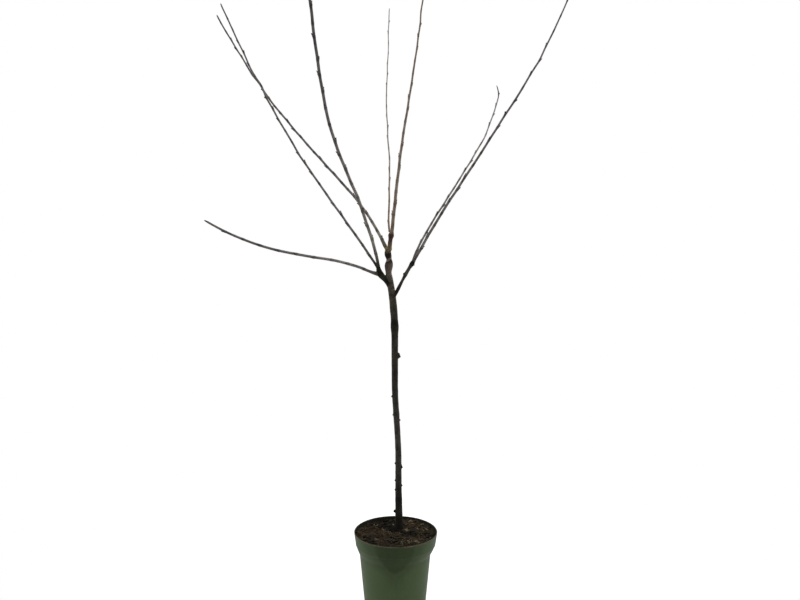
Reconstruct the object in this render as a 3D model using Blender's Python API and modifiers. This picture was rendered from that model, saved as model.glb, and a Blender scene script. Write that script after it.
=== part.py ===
"""A young European plum tree in winter, bare of leaves, grown in a nursery pot.

The origin is the middle of the pot's flat underside, +Z is up, and the tree is seen from the -Y side.
The wood is a trunk, two short boughs and eight shoots. Each is one limb: a smooth curve from its foot to its
tip, with a few slight bends, a thickness that fades from foot to tip, knots, and buds in a spiral.
A limb that carries others ends each of them in a collar, and the next limb starts just past that collar.
Limb places and sizes are in millimetres, and everything else is in metres.
"""

import math

import bmesh
import bpy
from mathutils import Matrix, Vector, noise

MM = 0.001
GAP = 0.0003

# Pot: a tapered wall, a sloping shoulder and an upright band under the lip
POT_HEIGHT = 0.240
RIM_DIA = 0.225
BAND_HEIGHT = 0.0335
BAND_FOOT_DIA = 0.215
SHOULDER_HEIGHT = 0.0255
BODY_TOP_DIA = 0.192
BASE_DIA = 0.158
WALL = 0.0024
BASE_ROUND = 0.005
LIP_ROUND = 0.0016
POT_SEGMENTS = 56
DRAIN_HOLES = 6
DRAIN_DIA = 0.013
DRILL_LENGTH = 0.02

# Soil: fills the pot to just under the lip
SOIL_DROP = 0.008
SOIL_RINGS = 7
SOIL_SEGMENTS = 36
SOIL_LUMP = 0.0030
SOIL_GRAIN = 0.022
TRUNK_FOOT = (10, 46)
TRUNK_PAD = 0.018
SOIL_TOP = POT_HEIGHT - SOIL_DROP

# Wood
BUD_TURN = 144
BUD_LEAN = 38
BUD_PROUD = 0.0030
BUD_LIMB_RADIUS = 0.0015
BUD_SIDES = 5
SPUR_SIDES = 6
COLLAR_SWELL = 1.25
COLLAR_SIDES = 8
COLLAR_RINGS = 5
CUT_RING = 0.002
LAST_BUD = 8

# The sides of a limb's tube and the distance between its rings
FINENESS = dict(trunk=(12, 13), left_bough=(10, 7), right_bough=(10, 7), leader_shoot=(8, 13))
SHOOT_FINENESS = (8, 26)
YOUNG_BARK = ("leader_shoot", "fine_centre_shoot")

TRUNK = dict(
    name="trunk",
    foot=(*TRUNK_FOOT, (SOIL_TOP + GAP) / MM),
    rise=(6, 22, 494),
    lean=(0, 6, 750),
    tip=(-16, 0, 1007),
    bends=((0.286, -1.7, 70), (0.50, 2.6, 70), (0.75, -3.4, 70), (0.93, 6.1, 45), (0.942, 1.0, 8), (0.95, -3.2, 16), (0.985, 2.2, 9)),
    dia=(19.5, 18.2),
    fade=1.0,
    knots=(
        (0.0, 4.4, 16),
        (0.0, 2.2, 60),
        (0.110, 0.8, 8),
        (0.38, -3.0, 186),
        (0.427, 1.3, 9),
        (0.733, 3.3, 15),
        (0.795, 1.6, 24),
        (0.916, -2.6, 8),
        (0.942, 3.6, 8),
        (0.964, -4.4, 6),
        (1.0, -2.6, 12),
    ),
    spurs=(
        (0.063, 180, 4.2, 11),
        (0.144, 175, 1.8, 5),
        (0.159, 10, 2.2, 5),
        (0.180, 190, 2.0, 5),
        (0.230, 0, 5.0, 6),
        (0.241, 165, 2.2, 5),
        (0.297, 255, 3.0, 6),
        (0.347, 75, 3.0, 6),
        (0.398, 20, 2.6, 5),
        (0.418, 160, 2.4, 5),
        (0.485, 185, 2.4, 5),
        (0.560, 95, 3.2, 6),
        (0.628, 5, 5.5, 7),
        (0.690, 240, 3.0, 6),
        (0.840, 100, 2.6, 6),
    ),
)

LEFT_BOUGH = dict(
    name="left_bough",
    foot=(-11, 0, 904),
    rise=(-28, 0, 935),
    lean=(-41, 0, 931),
    tip=(-45, 0, 960),
    bends=((0.68, 1.0, 14),),
    dia=(16.0, 11.4),
    fade=1.2,
    knots=((0.68, 4.0, 11), (1.0, -1.6, 5)),
    spurs=((0.78, 235, 1.6, 5),),
)

RIGHT_BOUGH = dict(
    name="right_bough",
    foot=(-4, 0, 879),
    rise=(21, -6, 925),
    lean=(21, -6, 932),
    tip=(48, -10, 974),
    bends=(),
    dia=(9.2, 8.6),
    fade=1.0,
    knots=((0.45, -1.4, 14), (0.61, 1.4, 7), (0.94, 4.4, 9), (1.0, -3.0, 4)),
    spurs=((0.60, 170, 1.8, 5), (0.90, 20, 1.6, 5)),
)

# Each shoot's buds are the first one's distance from the foot, the distance between buds, and the first
# one's turn round the shoot in degrees, from +X towards +Y
SHOOTS = (
    dict(
        name="low_left_shoot",
        grows_on="left_bough",
        collar=19,
        foot=(-40, 0, 939),
        rise=(-211, -80, 1011),
        lean=(-280, -104, 971),
        tip=(-457, -160, 1078),
        bends=((0.03, 1.4, 18), (0.07, 1.8, 20), (0.27, -1.1, 45)),
        dia=(7.2, 4.4),
        fade=0.45,
        knots=((0.02, 2.4, 14),),
        buds=(48, 46.5, 144),
        spurs=((0.70, 90, 1.2, 3),),
    ),
    dict(
        name="outer_left_shoot",
        grows_on="left_bough",
        collar=20,
        foot=(-45, 0, 955),
        rise=(-176, 22, 1153),
        lean=(-284, 38, 1254),
        tip=(-455, 60, 1640),
        bends=((0.44, 1.7, 30), (0.71, -2.9, 20), (0.77, 1.3, 30)),
        dia=(6.8, 4.0),
        fade=1.1,
        buds=(39, 33, 144),
        spurs=((0.665, 180, 3.0, 4), (0.458, 185, 2.0, 3)),
    ),
    dict(
        name="crossing_left_shoot",
        grows_on="trunk",
        collar=24,
        foot=(-14, 0, 995),
        rise=(-123, 87, 1213),
        lean=(-287, 140, 1267),
        tip=(-500, 220, 1648),
        bends=((0.02, 1.8, 30), (0.05, 2.0, 45), (0.21, -1.4, 45), (0.65, 1.7, 30), (0.73, -1.5, 20), (0.76, 1.5, 30), (0.85, -1.2, 70)),
        dia=(7.4, 4.1),
        fade=1.3,
        knots=((0.03, 2.4, 14),),
        buds=(41, 29, 324),
        spurs=((0.285, 100, 1.8, 3), (0.60, 180, 1.6, 3)),
    ),
    dict(
        name="tall_left_shoot",
        grows_on="left_bough",
        collar=20,
        foot=(-44, 0, 954),
        rise=(-91, -83, 1234),
        lean=(-196, -98, 1175),
        tip=(-207, -250, 1818),
        bends=((0.03, -1.0, 25), (0.16, 1.2, 60), (0.22, -1.8, 30), (0.43, 2.1, 70), (0.62, -1.1, 70), (0.71, -1.3, 30), (0.87, 1.3, 70)),
        dia=(7.7, 4.7),
        fade=0.3,
        buds=(42, 39.5, 252),
        spurs=((0.384, 0, 3.0, 4), (0.656, 180, 3.6, 4), (0.599, 10, 2.2, 4)),
    ),
    dict(
        name="leader_shoot",
        grows_on="trunk",
        collar=12,
        foot=(-16, 1, 1003),
        rise=(21, -45, 1338),
        lean=(51, -54, 1451),
        tip=(71, -70, 1639),
        bends=((0.085, -1.0, 20), (0.14, -1.3, 45), (0.43, 1.4, 70), (0.93, 1.6, 20)),
        dia=(9.5, 3.6),
        fade=1.4,
        knots=((0.02, 1.8, 22), (0.06, 5.2, 7)),
        buds=(92, 30, 180),
        spurs=((0.88, 0, 2.0, 3),),
    ),
    dict(
        name="fine_centre_shoot",
        grows_on="leader_shoot",
        collar=19,
        foot=(-12, 0, 1037),
        rise=(-18, 98, 1255),
        lean=(-31, 153, 1438),
        tip=(-17, 200, 1663),
        bends=((0.07, 4.2, 55), (0.33, -3.0, 45), (0.59, 2.2, 45), (0.82, -2.0, 45)),
        dia=(4.8, 2.5),
        fade=1.5,
        buds=(42, 30.5, 144),
        spurs=(),
    ),
    dict(
        name="outer_right_shoot",
        grows_on="right_bough",
        collar=16,
        foot=(46, -10, 970),
        rise=(186, -102, 1228),
        lean=(332, -160, 1400),
        tip=(405, -200, 1599),
        bends=((0.20, 1.3, 90), (0.56, 1.2, 45), (0.79, -1.2, 20), (0.92, 1.2, 45)),
        dia=(7.2, 3.2),
        fade=0.9,
        buds=(44, 36.5, 0),
        spurs=((0.593, 180, 3.0, 4), (0.644, 0, 2.6, 4)),
    ),
    dict(
        name="fine_right_shoot",
        grows_on="right_bough",
        collar=16,
        foot=(45, -10, 970),
        rise=(86, 50, 1100),
        lean=(301, 125, 1324),
        tip=(277, 140, 1443),
        bends=((0.05, 1.3, 20), (0.36, -0.8, 60), (0.73, -1.1, 20), (0.84, 2.1, 30), (0.96, -2.8, 20)),
        dia=(5.6, 2.8),
        fade=0.7,
        buds=(32, 29.5, 0),
        spurs=((0.96, 0, 2.0, 3),),
    ),
)

BOUGHS = (
    dict(LEFT_BOUGH, grows_on="trunk", collar=34),
    dict(RIGHT_BOUGH, grows_on="trunk", collar=29),
)


def clear_scene():
    for obj in list(bpy.data.objects):
        bpy.data.objects.remove(obj)


def new_collection(name):
    made = bpy.data.collections.new(name)
    bpy.context.scene.collection.children.link(made)
    return made


def material(name, colour, roughness):
    made = bpy.data.materials.new(name)
    made.use_nodes = True
    shader = made.node_tree.nodes["Principled BSDF"]
    shader.inputs["Base Color"].default_value = (*colour, 1)
    shader.inputs["Roughness"].default_value = roughness
    shader.inputs["Metallic"].default_value = 0
    made.diffuse_color = (*colour, 1)
    return made


def object_from(name, mesh, collection):
    made = bpy.data.objects.new(name, mesh)
    collection.objects.link(made)
    return made


def finish(obj, skin, smooth_angle=35):
    obj.data.materials.clear()
    obj.data.materials.append(skin)
    obj.data.shade_smooth()
    obj.data.set_sharp_from_angle(angle=math.radians(smooth_angle))


def weld(mesh):
    work = bmesh.new()
    work.from_mesh(mesh)
    bmesh.ops.remove_doubles(work, verts=work.verts, dist=0.00002)
    bmesh.ops.recalc_face_normals(work, faces=work.faces)
    work.to_mesh(mesh)
    work.free()


def mesh_of(obj):
    graph = bpy.context.evaluated_depsgraph_get()
    return bpy.data.meshes.new_from_object(obj.evaluated_get(graph))


def add_cone(name, foot, direction, base_radius, top_radius, length, sides, collection):
    work = bmesh.new()
    bmesh.ops.create_cone(work, cap_ends=True, segments=sides, radius1=base_radius, radius2=top_radius, depth=length)
    turn = direction.to_track_quat("Z", "Y").to_matrix().to_4x4()
    place = Matrix.Translation(foot + direction * length / 2) @ turn
    bmesh.ops.transform(work, matrix=place, verts=work.verts)
    mesh = bpy.data.meshes.new(name)
    work.to_mesh(mesh)
    work.free()
    return object_from(name, mesh, collection)


# Pot and soil


def wall_radius(z, inset=0.0):
    """The pot's outer radius at height z, less an inset."""
    band_foot = POT_HEIGHT - BAND_HEIGHT
    body_top = band_foot - SHOULDER_HEIGHT
    stations = (
        (0.0, BASE_DIA / 2),
        (body_top, BODY_TOP_DIA / 2),
        (band_foot, BAND_FOOT_DIA / 2),
        (POT_HEIGHT, RIM_DIA / 2),
    )
    for (low, r_low), (high, r_high) in zip(stations, stations[1:]):
        if z <= high:
            return r_low + (r_high - r_low) * (z - low) / (high - low) - inset
    return RIM_DIA / 2 - inset


def pot_profile():
    """Half the pot's section: lip, outer side, underside, floor and inner side."""
    band_foot = POT_HEIGHT - BAND_HEIGHT
    body_top = band_foot - SHOULDER_HEIGHT
    lip_z = POT_HEIGHT - LIP_ROUND
    outer = [(RIM_DIA / 2 - LIP_ROUND * 0.4, POT_HEIGHT), (wall_radius(lip_z), lip_z)]
    outer += [(wall_radius(z), z) for z in (band_foot, body_top, BASE_ROUND)]
    foot = [(BASE_DIA / 2 - BASE_ROUND * 0.7, 0.0), (0.0, 0.0)]
    floor = [(0.0, WALL), (BASE_DIA / 2 - WALL - BASE_ROUND * 0.7, WALL)]
    inner = [(wall_radius(z, WALL), z) for z in (BASE_ROUND + WALL, body_top, band_foot)]
    inner += [(wall_radius(lip_z, WALL), lip_z), (wall_radius(lip_z, WALL - LIP_ROUND * 0.4), POT_HEIGHT)]
    return outer + foot + floor + inner


def turned(name, profile, segments, collection):
    """A closed solid of revolution about Z, from the points of half its section."""
    mesh = bpy.data.meshes.new(name)
    points = [(radius, 0.0, z) for radius, z in profile]
    count = len(points)
    mesh.from_pydata(points, [(i, (i + 1) % count) for i in range(count)], [])
    obj = object_from(name, mesh, collection)
    screw = obj.modifiers.new("turn", "SCREW")
    screw.axis = "Z"
    screw.angle = math.tau
    screw.steps = segments
    screw.render_steps = segments
    screw.use_merge_vertices = True
    screw.merge_threshold = 0.00005
    obj.data = mesh_of(obj)
    obj.modifiers.clear()
    weld(obj.data)
    return obj


def make_pot(parts, cutters):
    pot = turned("pot", pot_profile(), POT_SEGMENTS, parts)
    reach = BASE_DIA / 2 - DRAIN_DIA * 1.15
    for i in range(DRAIN_HOLES):
        turn = math.tau * (i + 0.5) / DRAIN_HOLES
        foot = Vector((reach * math.cos(turn), reach * math.sin(turn), -DRILL_LENGTH / 2))
        upward = Vector((0, 0, 1))
        drill = add_cone("drain_drill", foot, upward, DRAIN_DIA / 2, DRAIN_DIA / 2, DRILL_LENGTH, 12, cutters)
        drill.hide_render = True
        drill.display_type = "WIRE"
    cut = pot.modifiers.new("drain_holes", "BOOLEAN")
    cut.operation = "DIFFERENCE"
    cut.operand_type = "COLLECTION"
    cut.collection = cutters
    finish(pot, material("pot_green_plastic", (0.055, 0.090, 0.035), 0.40))


def soil_height(x, y):
    """The lumpy top of the soil, flat where the trunk stands and along the wall."""
    edge = wall_radius(SOIL_TOP, WALL + GAP)
    from_wall = (edge - math.hypot(x, y)) / 0.014
    from_trunk = (math.hypot(x - TRUNK_FOOT[0] * MM, y - TRUNK_FOOT[1] * MM) - TRUNK_PAD) / 0.010
    keep = max(0.0, min(1.0, from_wall)) * max(0.0, min(1.0, from_trunk))
    lumps = noise.noise(Vector((x, y, 0.37)) / SOIL_GRAIN)
    return SOIL_TOP + keep * SOIL_LUMP * lumps


def make_soil(parts):
    inset = WALL + GAP
    band_foot = POT_HEIGHT - BAND_HEIGHT
    body_top = band_foot - SHOULDER_HEIGHT
    floor_z = WALL + GAP
    corner = BASE_DIA / 2 - inset - BASE_ROUND * 0.9
    edge = wall_radius(SOIL_TOP, inset)
    top = [(edge * i / SOIL_RINGS, SOIL_TOP) for i in range(SOIL_RINGS)]
    side = [(wall_radius(z, inset * 1.02), z) for z in (band_foot, body_top, BASE_ROUND + WALL + GAP)]
    profile = top + [(edge, SOIL_TOP)] + side + [(corner, floor_z), (0.0, floor_z)]
    soil = turned("soil", profile, SOIL_SEGMENTS, parts)
    for vertex in soil.data.vertices:
        if abs(vertex.co.z - SOIL_TOP) < 0.0001:
            vertex.co.z = soil_height(vertex.co.x, vertex.co.y)
    finish(soil, material("soil_dark_compost", (0.045, 0.034, 0.021), 0.95), 60)


# Wood


def bell(distance, height):
    """A smooth rise of this height that fades out over a distance of about 2."""
    return height * math.exp(-(distance**2))


def curve_points(limb, count):
    """Points at even shares of the limb's curve, in metres, from its foot to its tip, with its bends."""
    ends = [Vector(limb[key]) for key in ("foot", "rise", "lean", "tip")]
    fine = 400
    path = []
    for i in range(fine + 1):
        t = i / fine
        weights = ((1 - t) ** 3, 3 * t * (1 - t) ** 2, 3 * t * t * (1 - t), t**3)
        path.append(sum((w * p for w, p in zip(weights, ends)), Vector()))
    travel = [0.0]
    for a, b in zip(path, path[1:]):
        travel.append(travel[-1] + (b - a).length)
    points = []
    at = 0
    for i in range(count):
        share = i / (count - 1)
        goal = share * travel[-1]
        while at < fine - 1 and travel[at + 1] < goal:
            at += 1
        part = (goal - travel[at]) / (travel[at + 1] - travel[at])
        place = path[at].lerp(path[at + 1], part)
        aside = (path[at + 1] - path[at]).cross(Vector((0, 1, 0))).normalized()
        shift = sum(bell((share - mid) * travel[-1] / reach, far) for mid, far, reach in limb["bends"])
        points.append((place + aside * shift) * MM)
    return points


def limb_length(limb):
    points = curve_points(limb, 120)
    return sum((b - a).length for a, b in zip(points, points[1:]))


def radius_at(limb, share, length):
    """The limb's radius in metres at a share of its length."""
    foot, tip = limb["dia"]
    dia = tip + (foot - tip) * (1 - share) ** limb["fade"]
    for mid, extra, reach in limb.get("knots", ()):
        dia += bell((share - mid) * length / (reach * MM), extra)
    return dia / 2 * MM


def tube(name, points, radii, sides, collection):
    """A closed tube through the points, with flat ends."""
    data = bpy.data.curves.new(name, "CURVE")
    data.dimensions = "3D"
    data.bevel_depth = MM
    data.bevel_resolution = (sides - 4) // 2
    data.use_fill_caps = True
    spline = data.splines.new("POLY")
    spline.points.add(len(points) - 1)
    for slot, place, radius in zip(spline.points, points, radii):
        slot.co = (*place, 1)
        slot.radius = radius / MM
    guide = object_from(name + "_guide", data, collection)
    mesh = mesh_of(guide)
    bpy.data.objects.remove(guide)
    weld(mesh)
    return object_from(name, mesh, collection)


def limb_tube(limb, start, ring_step, sides, collection):
    """The limb from a distance along it to its rounded tip."""
    length = limb_length(limb)
    rings = max(6, round((length - start) / (ring_step * MM)))
    fine = curve_points(limb, 400)
    shares = [start / length + (1 - start / length) * i / (rings - 1) for i in range(rings)]
    if start:
        # A second ring close by keeps the cut end square to the limb, so that it stays clear of the collar
        shares.insert(1, shares[0] + CUT_RING / length)
    places = [at_share(fine, share) for share in shares]
    radii = [radius_at(limb, share, length) for share in shares]
    if not start:
        # The trunk's first ring stays level, so that it is cut flat on the soil
        places[1].x, places[1].y = places[0].x, places[0].y
    end = (places[-1] - places[-2]).normalized()
    places.append(places[-1] + end * radii[-1] * 0.7)
    radii.append(radii[-1] * 0.45)
    return tube(limb["name"], places, radii, sides, collection)


def at_share(points, share):
    """The place at a share of an evenly spaced row of points."""
    reach = share * (len(points) - 1)
    low = min(int(reach), len(points) - 2)
    return points[low].lerp(points[low + 1], reach - low)


def direction_at(points, share):
    step = 0.004
    low, high = max(0.0, share - step), min(1.0, share + step)
    return (at_share(points, high) - at_share(points, low)).normalized()


def outward(direction, turn):
    """The sideways direction at a turn in degrees round the limb, from +X towards +Y."""
    flat = Vector((math.cos(math.radians(turn)), math.sin(math.radians(turn)), 0))
    aside = flat - direction * flat.dot(direction)
    if aside.length < 0.2:
        aside = direction.orthogonal()
    return aside.normalized()


def add_bud(limb, points, length, share, turn, collection):
    """A pointed bud that leans out from the limb, with its root sunk to the limb's middle."""
    radius = radius_at(limb, share, length)
    proud = BUD_PROUD * (0.75 + 0.25 * radius / BUD_LIMB_RADIUS)
    along = direction_at(points, share)
    side = outward(along, turn)
    lean = math.radians(BUD_LEAN)
    direction = along * math.cos(lean) + side * math.sin(lean)
    reach = radius / math.sin(lean) + proud
    foot = at_share(points, share)
    add_cone("bud", foot, direction, radius * 0.75, 0.0, reach, BUD_SIDES, collection)


def add_spur(limb, points, length, spur, collection):
    """A short blunt stub, as an old spur or a strong bud leaves."""
    share, turn, proud, width = spur
    radius = radius_at(limb, share, length)
    along = direction_at(points, share)
    side = outward(along, turn)
    direction = (side + along * 0.35).normalized()
    reach = (radius + proud * MM) / direction.dot(side)
    foot = at_share(points, share)
    add_cone("spur", foot, direction, width / 2 * MM, width / 4 * MM, reach, SPUR_SIDES, collection)


def add_collar(child, collection):
    """The start of a limb that belongs to the limb it grows on."""
    points = curve_points(child, 400)
    length = limb_length(child)
    end = child["collar"] * MM / length
    steps = [i / (COLLAR_RINGS - 1) for i in range(COLLAR_RINGS)]
    places = [at_share(points, end * step) for step in steps]
    radii = [radius_at(child, end * step, length) * (COLLAR_SWELL - (COLLAR_SWELL - 1) * step) for step in steps]
    tube("collar", places, radii, COLLAR_SIDES, collection)


def join_all(obj, extras):
    """One union of the object with every object of a collection, which is then emptied."""
    if not extras.objects:
        return
    join = obj.modifiers.new("join", "BOOLEAN")
    join.operation = "UNION"
    join.operand_type = "COLLECTION"
    join.collection = extras
    obj.data = mesh_of(obj)
    obj.modifiers.clear()
    for extra in list(extras.objects):
        bpy.data.objects.remove(extra)
    weld(obj.data)


def make_limb(limb, everything, parts, extras, skin):
    """One limb as one solid: its own tube, its buds and spurs, and the collars of the limbs it carries."""
    sides, ring_step = FINENESS.get(limb["name"], SHOOT_FINENESS)
    start = limb["collar"] * MM + GAP if "collar" in limb else 0.0
    made = limb_tube(limb, start, ring_step, sides, parts)
    points = curve_points(limb, 400)
    length = limb_length(limb)
    if "buds" in limb:
        first, gap, turn = limb["buds"]
        for i in range(int((length / MM - LAST_BUD - first) / gap) + 1):
            share = (first + gap * i) * MM / length
            add_bud(limb, points, length, share, turn + BUD_TURN * i, extras)
    for spur in limb["spurs"]:
        add_spur(limb, points, length, spur, extras)
    for child in everything:
        if child.get("grows_on") == limb["name"]:
            add_collar(child, extras)
    join_all(made, extras)
    finish(made, skin)


def make_wood(parts, extras):
    old_bark = material("old_bark", (0.060, 0.054, 0.043), 0.85)
    grey_bark = material("grey_bark", (0.170, 0.150, 0.126), 0.75)
    young_bark = material("young_bark", (0.340, 0.245, 0.190), 0.60)
    everything = (TRUNK, *BOUGHS, *SHOOTS)
    for limb in everything:
        if limb["name"] in YOUNG_BARK:
            skin = young_bark
        elif limb in SHOOTS:
            skin = grey_bark
        else:
            skin = old_bark
        make_limb(limb, everything, parts, extras, skin)


def main():
    clear_scene()
    parts = new_collection("potted_plum_tree")
    cutters = new_collection("cutters")
    extras = new_collection("joined_on")
    make_pot(parts, cutters)
    make_soil(parts)
    make_wood(parts, extras)
    bpy.data.collections.remove(extras)


main()
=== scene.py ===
"""The looks of a young European plum tree in winter, in its nursery pot.

Bark, winter buds, moulded plastic and potting soil, with the camera, the floor and the light. The origin
is the middle of the pot's flat underside, +Z is up, and the camera looks along +Y. Limb places and sizes
are in millimetres, and everything else is in metres.
"""

import math
import random

import bpy
from mathutils import Matrix, Vector, kdtree, noise

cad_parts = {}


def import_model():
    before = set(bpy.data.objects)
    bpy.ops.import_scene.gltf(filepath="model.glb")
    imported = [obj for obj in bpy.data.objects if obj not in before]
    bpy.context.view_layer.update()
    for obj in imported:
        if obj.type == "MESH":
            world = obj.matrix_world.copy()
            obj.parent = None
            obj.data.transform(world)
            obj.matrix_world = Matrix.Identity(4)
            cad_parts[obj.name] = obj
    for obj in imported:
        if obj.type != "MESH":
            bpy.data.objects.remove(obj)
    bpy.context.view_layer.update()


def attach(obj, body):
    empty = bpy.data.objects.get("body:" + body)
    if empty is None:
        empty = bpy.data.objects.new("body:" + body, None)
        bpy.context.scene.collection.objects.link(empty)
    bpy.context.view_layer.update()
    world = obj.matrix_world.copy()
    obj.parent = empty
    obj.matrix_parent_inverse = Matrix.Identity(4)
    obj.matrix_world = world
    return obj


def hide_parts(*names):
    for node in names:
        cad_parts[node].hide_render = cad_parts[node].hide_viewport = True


MM = 0.001
MERGE = 0.00001

# Camera
CAMERA_PLACE = (0.0123, -2.2, 1.093)
CAMERA_DOWN = 5.766
CAMERA_LENS = 37.71
CAMERA_SENSOR = 36

# Pot
POT_HEIGHT = 0.240
RIM_DIA = 0.225
BAND_HEIGHT = 0.0335
BAND_FOOT_DIA = 0.215
SHOULDER_HEIGHT = 0.0255
BODY_TOP_DIA = 0.192
BASE_DIA = 0.158
WALL = 0.0024
BASE_ROUND = 0.005
LIP_ROUND = 0.0012
EDGE_FLARE = 0.0008
POT_SIDES = 160
DRAIN_HOLES = 6
DRAIN_DIA = 0.013
BAND_FOOT = POT_HEIGHT - BAND_HEIGHT
BODY_TOP = BAND_FOOT - SHOULDER_HEIGHT

# The pot's outer side from its base to its rim: the height and the radius
POT_SIDE = (
    (0.0, BASE_DIA / 2), (BODY_TOP, BODY_TOP_DIA / 2),
    (BAND_FOOT, BAND_FOOT_DIA / 2), (POT_HEIGHT, RIM_DIA / 2),
)

# The darker patch on the pot's front, where its paler film is thin: its top, how far it reaches down, half
# its width at its top, how much of that is gone at its foot, and how far left its middle is
DARK_PATCH_TOP = 0.235
DARK_PATCH_TALL = 0.085
DARK_PATCH_HALF = 0.049
DARK_PATCH_TAPER = -0.056
DARK_PATCH_MIDDLE = 0.0010

# Soil
SOIL_TOP = 0.232
SOIL_LUMP = 0.0030
SOIL_GRAIN = 0.022
SOIL_CELLS = 230
TRUNK_FOOT = (10, 46)
HOLLOW_REACH = 0.014
HOLLOW_DEPTH = 0.0022
HEAP = (0.052, 0.088)
HEAP_REACH = 0.030
HEAP_RISE = 0.0032

# The crumbs of the soil's top: how far apart they lie and how tall they are
CRUMB_SIZES = ((0.011, 0.0019), (0.0052, 0.0013), (0.0026, 0.0006))

# Patches on the soil: the middle and the reach in millimetres, and the tint of each. The dark ones are
# partly wet soil and partly painted shade, round the trunk's foot, by the front wall and at the back left
SOIL_PATCHES = (
    (-35, 72, 32, (0.48, 0.46, 0.44)), (-74, 22, 30, (1.00, 0.80, 0.74)),
    (-27, 14, 13, (1.90, 1.55, 1.15)), (-4, 33, 19, (0.12, 0.10, 0.08)), (-2, 14, 9, (0.34, 0.29, 0.24)),
    (32, 54, 17, (1.15, 0.88, 0.80)), (60, 66, 24, (1.70, 1.50, 1.10)), (40, 8, 16, (0.34, 0.30, 0.24)),
    (19, -52, 12, (2.60, 2.30, 1.70)), (49, -48, 11, (2.20, 2.00, 1.60)),
    (35, -78, 16, (1.60, 1.25, 1.10)), (4, -52, 8, (0.15, 0.14, 0.11)),
    (-34, -40, 15, (1.90, 1.42, 1.32)), (-56, -40, 10, (2.10, 1.80, 1.25)),
    (-66, -62, 16, (0.40, 0.40, 0.28)), (88, -20, 20, (0.80, 0.80, 0.64)),
)

# Where pale bits lie on the soil: the middle of each patch and its reach. One named twice has twice as many
PALE_PATCHES = (
    (0.017, -0.051, 0.009), (0.022, -0.064, 0.009), (0.049, -0.048, 0.010), (0.049, -0.048, 0.010),
    (0.041, 0.094, 0.009), (0.046, 0.090, 0.009), (0.061, 0.068, 0.014), (0.033, 0.030, 0.008),
    (-0.026, 0.014, 0.008), (-0.055, 0.060, 0.006), (-0.056, 0.059, 0.006), (-0.055, -0.040, 0.005),
    (0.073, 0.036, 0.009),
)

# The middle of a smooth, almost bare place on the soil, and how light the soil's tint is where a bit counts
# as lying in the dark patches of wet soil and painted shade
SMOOTH_SPOT = (-0.074, 0.022)
WET_AND_SHADED_LEVEL = 0.75

# Straws: how many lie about, how they are drawn, and the foot, the span and the rise of the one that arches
STRAWS = 46
STRAW_STEP = 0.0034
STRAW_POINTS = 9
STRAW_WIDTH = 0.00042
ARCH_FOOT = (-0.040, -0.033)
ARCH_SPAN = (0.011, -0.021)
ARCH_RISE = 0.036

# The dark and the pale colour of the small bits' finishes
BIT_COLOURS = dict(
    # The darkest flakes are wet bark and also painted shade, as they lie in the soil's shaded patches
    shaded_wet_flakes=((0.0065, 0.0052, 0.0032), (0.0150, 0.0118, 0.0070)),
    dark_flakes=((0.0160, 0.0122, 0.0072), (0.044, 0.033, 0.0190)),
    brown_flakes=((0.040, 0.028, 0.016), (0.094, 0.067, 0.038)),
    weathered_flakes=((0.105, 0.083, 0.049), (0.275, 0.236, 0.150)),
    grey_grit=((0.165, 0.145, 0.100), (0.340, 0.310, 0.225)),
    dry_straw=((0.130, 0.098, 0.060), (0.240, 0.185, 0.115)),
)

# Each bark's colours, how thick its grey film lies and how large its lenticels are
BARKS = dict(
    old=dict(
        Bark=(0.076, 0.069, 0.054), Dark=(0.034, 0.030, 0.023), Lenticel=(0.160, 0.138, 0.106),
        Film=(0.125, 0.121, 0.108), Film_Amount=0.40, Lenticel_Size=0.16,
    ),
    grey=dict(
        Bark=(0.365, 0.327, 0.316), Dark=(0.192, 0.170, 0.162), Lenticel=(0.46, 0.42, 0.40),
        Film=(0.486, 0.462, 0.458), Film_Amount=0.50, Lenticel_Size=0.15,
    ),
    young=dict(
        Bark=(0.640, 0.480, 0.360), Dark=(0.390, 0.270, 0.190), Lenticel=(0.68, 0.58, 0.48),
        Film=(0.68, 0.58, 0.48), Film_Amount=0.50, Lenticel_Size=0.15,
    ),
)

# Wood. A bud leans and stands out so far, and a strong one leans more and has no small one close to it.
BUD_TURN = 144
BUD_LEAN = 26
BUD_PROUD = 0.0044
BUD_KINK = 0.55
BUD_LIMB_RADIUS = 0.0015
STRONG_BUD_LEAN = 33
STRONG_BUD_CLEAR = 0.015
LAST_BUD = 8
CUSHION_ABOVE = 3.6
CUSHION_REACH = 12
BARK_PROUD = 1.05
SPUR_RISE = 0.35
SPUR_DARK = 0.65
SHOOT_SIDES = 20
SHOOT_RING = 0.0016
VOXEL = 0.00088

# How much darker a shoot is at its buds. Its foot belongs to the old wood's skin, so its tint there counts
# against old bark.
NODE_DARK = dict(grey=0.45, young=0.24)
FOOT_TINTS = dict(grey=(4.7, 4.5, 5.2), young=(8.4, 7.0, 6.6))

# The old wood's cores, which grow into one skin: the sides of each tube and how much thicker its foot is
CORES = (("trunk", 32, 1.0), ("left_bough", 24, 1.08), ("right_bough", 24, 1.04))

# How far the old bark stands out. On the trunk, in millimetres from its foot: where a slanting scar is, how
# far it reaches and how it slants, and from where to where the left side is in shade, and how much
BARK_LIFT = 0.00012
SCAR_AT = 750
SCAR_REACH = 8
SCAR_SLANT = -4.5
SHADED = (655, 748)
SIDE_SHADE = 0.42

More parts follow.
